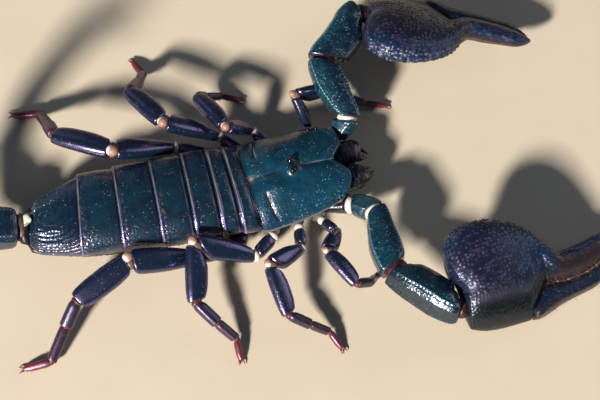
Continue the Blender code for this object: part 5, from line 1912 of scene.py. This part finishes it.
@dataclass
class ClawHand:
    """The broad grained hand, its fixed finger and the movable finger beside it.

    The hand lies along x from the wrist; m runs towards the inner lobe, and b out of
    the back of the hand.
    """

    side: Side
    wrist: tuple[float, float, float]
    pose: tuple[float, float, float]
    opening: float
    lobe_reach: float = 21.4
    lobe_x: float = 9.5
    lobe_back: float = 11.2
    lobe_front: float = 20.9
    rear: tuple[tuple[float, ...], tuple[float, ...]] = (
        (-9.4, -5.8, -1.0, 2.2, 4.3, 7.7, 11.5, 15.2, 18.0),
        (1.0, 0.6, 0.5, 1.2, 1.7, -0.5, -1.2, -0.8, -0.2),
    )
    outer_reach: float = 9.4
    socket_x: float = 18.2
    fork_x: float = 25.2
    full_depth: float = 13.0
    hinge: tuple[float, float] = (20.0, -8.9)
    corners: tuple[tuple[float, float], ...] = (
        (1.0, -0.04), (0.965, 0.50), (0.85, 0.84), (0.62, 1.0), (0.36, 0.92), (0.15, 0.55),
        (0.03, -0.05), (0.04, -0.55), (0.22, -0.92), (0.48, -1.0), (0.75, -0.72), (0.92, -0.30),
    )
    fixed: tuple[tuple[float, ...], ...] = (
        # x, inner m, outer m, depth, lift
        (28.3, 9.3, -1.1, 8.4, 0.3), (31.2, 6.5, -1.5, 7.4, 0.3), (35.5, 6.8, -1.4, 7.0, -0.1),
        (40.0, 7.3, -0.6, 6.2, -0.2), (44.5, 8.0, 1.8, 4.8, -0.1), (47.2, 7.1, 4.1, 2.7, 0.0),
        (48.9, 5.6, 4.8, 0.9, 0.0),
    )
    movable: tuple[tuple[float, ...], ...] = (
        (19.0, -6.8, -9.2, 4.4, -1.0), (21.0, -4.8, -9.4, 6.6, -1.4), (23.2, -2.6, -9.0, 7.2, -1.8),
        (25.6, -0.9, -8.3, 7.2, -2.0), (29.0, -1.1, -7.1, 6.8, -2.2), (34.0, -1.0, -6.0, 6.2, -2.3),
        (39.0, -0.1, -5.0, 5.4, -2.2), (43.0, 1.5, -3.0, 4.4, -1.6), (46.2, 3.2, 0.3, 2.8, -0.8),
        (48.2, 4.1, 3.2, 0.9, -0.4),
    )

    def __post_init__(self) -> None:
        """Work out the directions along the hand, towards its lobe and out of its back."""
        heading, pitch, roll = (math.radians(angle) for angle in self.pose)
        level = math.cos(pitch)
        self.along = np.array([level * math.cos(heading), level * math.sin(heading), math.sin(pitch)])
        left, up = upright(self.along)
        inward = -self.side.value * left
        self.lobe = inward * math.cos(roll) + up * math.sin(roll)
        self.back = up * math.cos(roll) - inward * math.sin(roll)

    def spot(self, x: Array, m: Array, b: Array) -> Array:
        """Return plan points for places on the hand."""
        x, m, b = (np.asarray(value, float)[..., None] for value in np.broadcast_arrays(x, m, b))
        return np.array(self.wrist) + self.along * x + self.lobe * m + self.back * b

    def inner(self, x: Array) -> Array:
        """Reach of the lobe's rim: a flattened curve behind its widest place and an ellipse before it."""
        behind = np.maximum(1 - (np.maximum(self.lobe_x - x, 0) / self.lobe_back) ** 3, 0)
        ahead = np.maximum(1 - (np.maximum(x - self.lobe_x, 0) / self.lobe_front) ** 2, 0)
        return self.lobe_reach * np.sqrt(np.where(x < self.lobe_x, behind, ahead))

    def outer(self, x: Array) -> Array:
        """Reach of the outer side, which turns in to the fork beyond the finger's socket."""
        inward = np.maximum(x - self.socket_x, 0.0) / (self.fork_x - self.socket_x)
        return -self.outer_reach * (1 - 0.42 * np.exp(-x / 4.0)) + (self.outer_reach - 0.6) * inward**1.15

    def depth(self, x: Array) -> Array:
        """Depth of the hand: thin at the wrist, fullest in the middle, lower at the fingers."""
        wrist = np.sqrt(drawn_in(np.maximum(x, 0.0), 7.0, 0.84))
        return self.full_depth * wrist * (1 - 0.42 * ease(x, 9.0, 31.0))

    def sizes(self, x: Array) -> tuple[Array, Array, Array, Array]:
        """Return inner reach, outer reach, depth and lift, for the palm and on into the fixed finger."""
        rules = (self.inner, self.outer, self.depth, lambda place: 0 * place)
        fork = (self.fork_x, *(float(rule(np.array(self.fork_x))) for rule in rules))
        palm = [rule(np.minimum(x, self.fork_x)) for rule in rules]
        return tuple(np.where(x <= self.fork_x, a, b) for a, b in zip(palm, columns((fork, *self.fixed), x)))

    def swung(self, x: Array, m: Array) -> tuple[Array, Array]:
        """Turn places on the movable finger about its hinge, by how far it is open."""
        cos, sin = math.cos(math.radians(self.opening)), math.sin(math.radians(self.opening))
        ahead, aside = x - self.hinge[0], m - self.hinge[1]
        return self.hinge[0] + ahead * cos + aside * sin, self.hinge[1] + aside * cos - ahead * sin

    def loop(self, dense: int) -> tuple[Array, Array]:
        """Return the section's places, counted in corners and densest on the back, and its curve."""
        at = np.concatenate([
            np.linspace(0, 5, dense, endpoint=False), np.linspace(5, 8, dense // 4, endpoint=False),
            np.linspace(8, 12, dense // 3, endpoint=False),
        ])
        return at, closed_curve(np.array(self.corners), at)

    def palm(self, start: float) -> tuple[Skin, Array]:
        """Build the hand with its fixed finger.

        Rings follow the section's closed curve; the first few close the wrist end as a
        quarter round.  The back is covered with grains, coarser on the lobe's rim, and a
        beaded keel runs along the edge of the outer face.

        Args:
            start: How far the wrist end stops short of the wrist.

        Returns:
            The skin and its points.
        """
        round_end = 1.1
        quarter = np.radians(np.linspace(88, 10, 8))
        straight = [*np.linspace(start + round_end, 28.0, 138), *np.linspace(28.2, 48.7, 62)]
        x = np.array([start + round_end] * len(quarter) + straight)
        close = np.concatenate([np.cos(quarter), np.ones(len(straight))])
        slip = np.concatenate([-round_end * np.sin(quarter), np.zeros(len(straight))])
        inner, outer, depth, lift = (value[:, None] for value in self.sizes(x))
        at, curve = self.loop(190)
        share, height = curve[:, 0][None, :], curve[:, 1][None, :]
        close, slip, x = close[:, None], slip[:, None], x[:, None]
        tip = np.sqrt(drawn_in(self.fixed[-1][0] - x, 0.8))
        m = outer + share * (inner - outer)
        middle = (inner + outer) / 2
        m = middle + (m - middle) * (0.86 + 0.14 * close)
        low = 0.20 * ease(x, 9.0, 23.0) * fall(x, 40.0, 48.0) * fall(share, 0.05, 0.85)
        b = lift + height * depth / 2 * close * tip * (1 - low * (height > 0))
        bulge = (through(*self.rear, m) - start) * np.maximum(1 - x / 8, 0)
        where = x + slip + bulge
        grid = self.spot(where, m, b)
        on_back = ease(at, -0.1, 0.5) * fall(at, 3.9, 4.6) + ease(at, 11.4, 11.9)
        on_face = ease(at, 3.6, 4.8) * fall(at, 7.4, 8.4)
        rim_far = np.abs(inner - m)
        rim = swell(rim_far, 1.5) * (on_back > 0.02) * fall(x, 26, 30)
        palm_part = fall(x, 25.5, 31.0)
        place = np.stack(np.broadcast_arrays(where, m, b), axis=-1)
        grain = knobs(place, 1.10, 7.0 + self.side.value, 0.42)
        coarse = knobs(place, 1.2, 17.0, 0.55)
        fine = knobs(place, 0.75, 27.0, 0.5)
        relief = on_back * (0.17 * grain * (0.35 + 0.65 * palm_part)) * (1 - 0.8 * rim)
        neither = (1 - on_back) * (1 - on_face)
        relief = relief + 0.36 * coarse * rim + 0.10 * fine * on_face + 0.05 * fine * neither
        keel_line = swell(at - 4.2, 0.22) * (0.6 + 0.4 * beads(x, 1.0)) * ease(x, 1.0, 3.0) * fall(x, 18, 24)
        inner_keel = swell(at - 1.2, 0.5) * ease(x, 27, 31) * (0.6 + 0.4 * beads(x, 0.8))
        relief = (relief + 0.14 * keel_line + 0.20 * inner_keel) * close * tip
        lobe_edge = fall(rim_far, 1.0, 7.5)
        drift = np.maximum.reduce([0.85 * lobe_edge * (on_back > 0.02), ease(x, 13, 22) + 0 * m,
                                   0.8 * fall(x, 0, 4) + 0 * m])
        line = swell(m - outer - 0.5, 1.2) * ease(x, 17.5, 19.0) * fall(x, 25.0, 27.0)
        if self.side is Side.RIGHT:
            facing = ease(at, 1.9, 2.8) * fall(at, 11.0, 11.9)
        else:
            facing = np.maximum(fall(at, 0.2, 0.9), ease(at, 5, 6))
        bite = facing * ease(x + 0 * at, 26.0, 30.0)
        # Painted highlight: grain tips, and the coarse knobs on the lobe's rim, are painted paler.
        marks = Marks(
            warm=0.75 * line + 0.75 * bite,
            pale=0.15 * keel_line * palm_part + 0.10 * rim * coarse,
            shade=(0.85 * on_face + 0.45 * neither) * (1 - bite) + 0.25 * bite,
            tip=np.maximum.reduce([grain * on_back * 0.8, coarse * rim, 0.35 * fine * on_face]),
            drift=drift,
        )
        return Skin().add(raised(grid, relief), marks), grid

    def finger(self) -> tuple[Skin, Array]:
        """Build the movable finger: its table of sizes, swung open about the hinge."""
        x = np.concatenate([np.linspace(19.0, 24.0, 34), np.linspace(24.2, 48.1, 96)])
        inner, outer, depth, lift = (column[:, None] for column in columns(self.movable, x))
        at, curve = self.loop(72)
        x = x[:, None]
        tip = np.sqrt(drawn_in(self.movable[-1][0] - x, 0.8) * drawn_in(x - 18.9, 0.9))
        m = outer + curve[:, 0][None, :] * (inner - outer)
        b = lift + curve[:, 1][None, :] * depth / 2 * tip
        place = np.broadcast_arrays(*self.swung(x, m), b)
        grid = self.spot(*place)
        keel = swell(at - 4.3, 0.5) * (0.5 + 0.5 * beads(x, 0.9)) + 0.6 * swell(at - 1.6, 0.5)
        fine = knobs(np.stack(place, axis=-1), 0.85, 41.0)
        bite = fall(at, 0.2, 1.2) + ease(at, 10.6, 11.6)
        low = ease(at, 3.4, 4.6) * fall(at, 9.0, 10.0)
        relief = (0.24 * keel + 0.07 * fine) * tip
        warm = 0.7 * bite * ease(x, 24, 27) + 0.5 * fall(x, 20, 23) + 0.35 * low
        marks = Marks(warm=warm, tip=0.4 * fine, shade=0.15 + 0.6 * low, drift=0.9)
        return Skin().add(raised(grid, relief), marks), grid

    def teeth(self) -> Skin:
        """Build the toothed edges: a row of small domes on each finger, every fourth one larger."""
        skin = Skin()
        for row, sign in ((self.fixed, -1), (self.movable, 1)):
            axes = np.stack([self.lobe * -sign, self.along, self.back])
            for number, x in enumerate(np.arange(29.0, 46.5, 0.78)):
                inner, outer, depth, lift = columns(row, x)
                if sign < 0:
                    place = (x, outer + 0.35, lift - 0.12 * depth)
                else:
                    place = (*self.swung(x, inner - 0.3), lift + 0.05 * depth)
                size = 0.42 if number % 4 else 0.62
                grid = ball(self.spot(*place), axes, (size * 1.1, size * 0.8, size), 8, 10)
                skin.add(grid, Marks(warm=0.3, pale=0.45))
        return skin

    def hinge_skin(self) -> Skin:
        """Build the dark skin between the palm and the movable finger, a flattened roll along the gap."""
        share = shares(30)
        x, m = 19.4 + 9.0 * share, -8.3 + 7.3 * share**0.8
        size = 1.9 * np.sqrt(1 - 0.9 * (2 * share - 1) ** 4)
        path = self.spot(x, m, -1.6 + 0.2 * share)
        grid = tube(path, size * 1.15, size * 1.9, 24, 2.2)
        return Skin().add(grid, Marks(warm=0.45, shade=0.85, drift=0.8))

    def make(self, shop: Workshop, coat: Bristles, arm_way: Array) -> None:
        """Hand over the hand, its finger and its teeth, and set their hairs."""
        name = f"palp_{self.side.word}"
        palm, palm_grid = self.palm(inset(arm_way, self.along, 0.9))
        finger, finger_grid = self.finger()
        shop.hand_over(f"{name}_hand", palm, "hand", "hand_shell", f"{name}_manus")
        shop.hand_over(f"{name}_finger", finger, "hand", "hand_shell", f"{name}_movable_finger")
        shop.hand_over(f"{name}_teeth", self.teeth(), "foot", "hand_shell")
        shop.hand_over(f"{name}_finger_skin", self.hinge_skin(), "skin", "soft_membrane")
        coat.scattered(palm_grid[10:150, :8], 150, 1.3, 0.05)
        coat.scattered(palm_grid[130:-4, 185:245], 420, 1.5, 0.35)
        coat.scattered(palm_grid[130:-4, :120], 160, 1.2, 0.55)
        coat.scattered(finger_grid[20:-3], 380, 1.4, 0.75)


# --- bristles


@dataclass
class Bristles:
    """Stiff hairs gathered into one mesh: bent three-sided spikes.

    Each hair has a patch of its own on the map for baking, at the place of its root.
    """

    name: str
    patch: float = 0.003
    lowest: float = 0.05
    fine: float = 0.05
    hairs: list[tuple[Array, ...]] = field(default_factory=list)

    def add(self, roots: Array, leans: Array, lengths: Array, width: float, homes: Array) -> None:
        """Add hairs.

        Args:
            roots: Where they grow.
            leans: Which way each points.
            lengths: Their lengths.
            width: Their width at the root.
            homes: Each root's place on the skin's own map, from 0 to 1 both ways.
        """
        leans = leans / np.linalg.norm(leans, axis=1, keepdims=True)
        self.hairs.append((roots, leans, lengths, np.full(len(roots), width), homes))

    def scattered(self, grid: Array, count: int, length: float, band: float) -> None:
        """Scatter fine hairs over a skin, leaning forward from its normals.

        Args:
            grid: The skin's points, or those of a patch of it.
            count: How many hairs.
            length: Their mean length.
            band: Picks another set of places.
        """
        around = np.roll(grid, -1, axis=1) - grid
        along = np.gradient(grid, axis=0)
        around[:, -1] = around[:, -2]
        normal = units(np.cross(around, along))
        number = np.arange(count, dtype=float)
        i = (scatter(number, 0 * number, band + 1) * (grid.shape[0] - 1)).astype(int)
        j = (scatter(number, 0 * number + 3, band + 2) * (grid.shape[1] - 1)).astype(int)
        way, out = units(along[i, j]), normal[i, j]
        whole = normals_of(grid)[i, j] if grid.shape[1] > 40 else out
        out = out * np.sign(np.sum(out * whole, axis=1, keepdims=True) + 1e-9)
        jitter = np.stack([scatter(number, number * 0 + s, band) - 0.5 for s in (5, 6, 7)], axis=-1)
        lengths = length * (0.5 + 0.8 * scatter(number, 0 * number + 9, band))
        homes = np.stack([i / grid.shape[0], j / grid.shape[1]], axis=-1)
        self.add(grid[i, j] - 0.05 * out, out + 0.5 * way + 0.5 * jitter, lengths, self.fine, homes)

    def build(self, shop: Workshop, slot: str) -> None:
        """Hand over the hairs as one mesh.

        A hair's middle line leans over by the square of the place along it; three rings
        of three points narrow to a tip.
        """
        roots, leans, lengths, widths, homes = (np.concatenate(part) for part in zip(*self.hairs))
        count = len(roots)
        side = np.cross(leans, [0.31, 0.17, 0.93])
        side /= np.linalg.norm(side, axis=1, keepdims=True)
        over = np.cross(leans, side)
        share = np.array([0.0, 0.4, 0.75, 1.0])
        spine = roots[:, None] + leans[:, None] * (share[:, None] * lengths[:, None, None])
        spine = spine - np.array([0, 0, 1.0]) * (0.18 * share**2)[None, :, None] * lengths[:, None, None]
        spine[..., 2] = np.maximum(spine[..., 2], self.lowest)
        angle = turns(3)
        ring = side[:, None, None] * np.cos(angle)[:, None] + over[:, None, None] * np.sin(angle)[:, None]
        taper = (widths[:, None] / 2 * np.array([1.0, 0.8, 0.5]))[..., None, None]
        rings = spine[:, :3, None] + ring * taper
        points = np.concatenate([rings.reshape(count, 9, 3), spine[:, 3:]], axis=1)
        a, b = np.array([0, 1, 2, 3, 4, 5]), np.array([1, 2, 0, 4, 5, 3])
        walls = np.stack([a, b, b + 3, a + 3], axis=-1)
        tops = np.array([[6, 7, 9], [7, 8, 9], [8, 6, 9], [2, 1, 0]])
        first = (np.arange(count) * 10)[:, None, None]
        quads, fans = (walls[None] + first).reshape(-1, 4), (tops[None] + first).reshape(-1, 3)
        mesh, corners = mesh_of(self.name, shop.place(points.reshape(-1, 3)), quads, fans)
        level = np.append(np.repeat(share[:3], 3), share[3])
        turn = np.array([0, 0.5, 1] * 3 + [0.5])
        local = np.stack([turn, level], axis=-1) * self.patch
        spots = np.clip(homes, 0, 1)[:, None] * (1 - self.patch) + local[None]
        layer = mesh.uv_layers.new(name="OFBake")
        layer.data.foreach_set("uv", spots.reshape(-1, 2)[corners].astype(np.float32).ravel())
        shop.dress(mesh, "bristle", slot)


# --- studio


@dataclass
class Studio:
    """The pale floor, the soft lights and the camera above and behind the right flank."""

    azimuth: float = -12.3
    elevation: float = 65.0
    target: tuple[float, float, float] = (13.685, -5.689, 7.767)
    distance: float = 694.4
    lens: float = 150.0
    floor_size: float = 3.0
    lamps: tuple[tuple[str, tuple[float, float, float], float, float, Colour], ...] = (
        # name, place, size, watts, colour
        ("key", (-1.90, -1.97, 1.55), 0.36, 225.0, (1.0, 0.96, 0.90)),
        ("fill", (1.90, 0.30, 0.90), 1.20, 7.0, (0.86, 0.92, 1.0)),
        ("rim", (-0.60, 2.20, 1.00), 1.20, 1.4, (0.92, 0.96, 1.0)),
    )
    sky: tuple[float, float, float, float] = (0.36, 0.52, 0.82, 1.0)
    sky_strength: float = 0.11

    def camera(self, shop: Workshop) -> None:
        """Add the camera, looking down at the target."""
        azimuth, elevation = math.radians(self.azimuth), math.radians(self.elevation)
        level = math.cos(elevation)
        back = Vector((math.sin(azimuth) * level, -math.cos(azimuth) * level, math.sin(elevation)))
        data = bpy.data.cameras.new("camera")
        data.lens, data.sensor_width = self.lens, 36.0
        data.clip_start, data.clip_end = 0.05, 20.0
        camera = bpy.data.objects.new("camera", data)
        camera.location = Vector(shop.place(self.target)) + back * (self.distance * MM)
        camera.rotation_mode = "QUATERNION"
        camera.rotation_quaternion = back.to_track_quat("Z", "Y")
        bpy.context.scene.collection.objects.link(camera)
        bpy.context.scene.camera = camera

    def light(
        self, name: str, place: tuple[float, float, float], size: float, watts: float, colour: Colour,
    ) -> None:
        """Add a square soft light that faces the model."""
        data = bpy.data.lights.new(name, "AREA")
        data.shape, data.size, data.energy, data.color = "SQUARE", size, watts, colour
        lamp = bpy.data.objects.new(name, data)
        lamp.location = Vector(place)
        lamp.rotation_mode = "QUATERNION"
        lamp.rotation_quaternion = Vector(place).to_track_quat("Z", "Y")
        bpy.context.scene.collection.objects.link(lamp)

    def floor(self) -> None:
        """Add the pale floor, a slightly uneven matt sheet just below the soles."""
        half = self.floor_size / 2
        side = np.linspace(-half, half, 9)
        x, y = np.meshgrid(side, side, indexing="ij")
        points = np.stack([x, y, np.full_like(x, -0.0002)], axis=-1).reshape(-1, 3)
        index = np.arange(len(points)).reshape(x.shape)
        faces = np.stack([index[:-1, :-1], index[1:, :-1], index[1:, 1:], index[:-1, 1:]], axis=-1)
        mesh = bpy.data.meshes.new("floor")
        mesh.from_pydata(points.tolist(), [], faces.reshape(-1, 4).tolist())
        paint = Paint("floor_matt")
        cloud = paint.noise(30.0, 3.0)
        colour = paint.mix(cloud, tone(206, 190, 166), tone(216, 202, 180))
        mesh.materials.append(paint.finished({"Base Color": colour, "Roughness": 0.9}))
        sheet = bpy.data.objects.new("floor", mesh)
        bpy.context.scene.collection.objects.link(sheet)

    def make(self, shop: Workshop) -> None:
        """Add the floor, lights, surroundings and camera."""
        self.floor()
        for lamp in self.lamps:
            self.light(*lamp)
        world = bpy.data.worlds.new("studio")
        world.use_nodes = True
        sockets = world.node_tree.nodes["Background"].inputs
        sockets["Color"].default_value, sockets["Strength"].default_value = self.sky, self.sky_strength
        bpy.context.scene.world = world
        bpy.context.scene.view_settings.view_transform = "Standard"
        self.camera(shop)


# --- the whole animal

LEG_LENGTHS = {
    1: (6.0, 10.3, 12.0, 5.8, 6.2, 6.4),
    2: (6.5, 12.0, 14.5, 6.6, 5.8, 5.8),
    3: (8.0, 17.8, 15.8, 8.0, 7.0, 6.0),
    4: (11.5, 19.5, 17.8, 7.8, 10.2, 8.0),
}
LEG_GIRTH = {1: (4.6, 3.2), 2: (5.2, 3.5), 3: (6.2, 3.8), 4: (6.8, 4.2)}
LEG_POSE = {
    (Side.LEFT, 1): ((21, 104, 19, -26, -22, -13), (6.2, 12.5, 6.2, 4.2, 2.0)),
    (Side.LEFT, 2): ((119, 187, 113, 46, 10, -19), (5.8, 14.8, 10.5, 4.8, 1.6)),
    (Side.LEFT, 3): ((129, 166, 119, 58, 68, 111), (7.0, 15.8, 12.0, 6.5, 2.0)),
    (Side.LEFT, 4): ((158, 183, 148, 100, 105, 166), (7.6, 16.0, 13.5, 8.5, 1.8)),
    (Side.RIGHT, 1): ((-57, -119, -61, 16, 58, 33), (7.4, 13.0, 11.5, 7.6, 2.6)),
    (Side.RIGHT, 2): ((-98, -150, -81, -29, -26, -64), (6.6, 11.5, 7.2, 4.6, 2.3)),
    (Side.RIGHT, 3): ((-140, 168, -101, -51, -46, -90), (7.0, 14.4, 8.8, 5.6, 2.4)),
    (Side.RIGHT, 4): ((-177, -179, -156, -131, -127, 179), (7.2, 13.6, 10.4, 6.2, 2.2)),
}
LEG_ROLL = dict.fromkeys(LEG_POSE, 20.0) | {(Side.LEFT, 1): 70.0}
PALP_JOINTS = {
    Side.LEFT: (
        (17.0, 8.8, 5.4), (27.8, 11.9, 7.4), (32.2, 14.6, 11.0), (28.0, 32.8, 13.6), (42.8, 45.1, 13.9),
    ),
    Side.RIGHT: (
        (18.7, -6.8, 5.4), (27.5, -9.7, 7.4), (33.1, -14.7, 11.0), (33.6, -34.2, 12.6), (49.2, -48.6, 12.2),
    ),
}
HAND_POSE = {Side.LEFT: (-13.0, -10.6, 27.0), Side.RIGHT: (10.0, -8.0, 20.0)}
FINGER_OPEN = {Side.LEFT: 0.0, Side.RIGHT: 3.0}
PATELLA_LEAN = {Side.LEFT: -0.7, Side.RIGHT: 0.0}


def main() -> None:
    """Build the animal from the head shield to the sting, and set it in the studio."""
    logging.basicConfig(level=logging.INFO, format="%(message)s")
    shop = Workshop(Finishes())
    Studio().make(shop)
    underside = Underside()
    for part in (HeadShield(), Trunk(), underside, Jaws(), Combs()):
        part.make(shop)
    tail_coat, foot_coat, palp_coat = (Bristles(f"{place}_bristles") for place in ("tail", "foot", "palp"))
    Tail().make(shop, tail_coat)
    for (side, pair), pose in LEG_POSE.items():
        hip, roll = underside.hip(pair, side), LEG_ROLL[side, pair]
        Leg(side, pair, LEG_LENGTHS[pair], LEG_GIRTH[pair], *pose, hip, roll).make(shop, foot_coat)
    for side in Side:
        hand = ClawHand(side, PALP_JOINTS[side][-1], HAND_POSE[side], FINGER_OPEN[side])
        arm = PalpArm(side, PALP_JOINTS[side], hand.along, PATELLA_LEAN[side])
        arm.make(shop, palp_coat)
        hand.make(shop, palp_coat, arm.ways[3])
    for coat, slot in ((tail_coat, "red_shell"), (foot_coat, "red_shell"), (palp_coat, "hand_shell")):
        coat.build(shop, slot)
    LOG.info("all pieces: %d triangles", shop.faces)


if __name__ == "__main__":
    main()
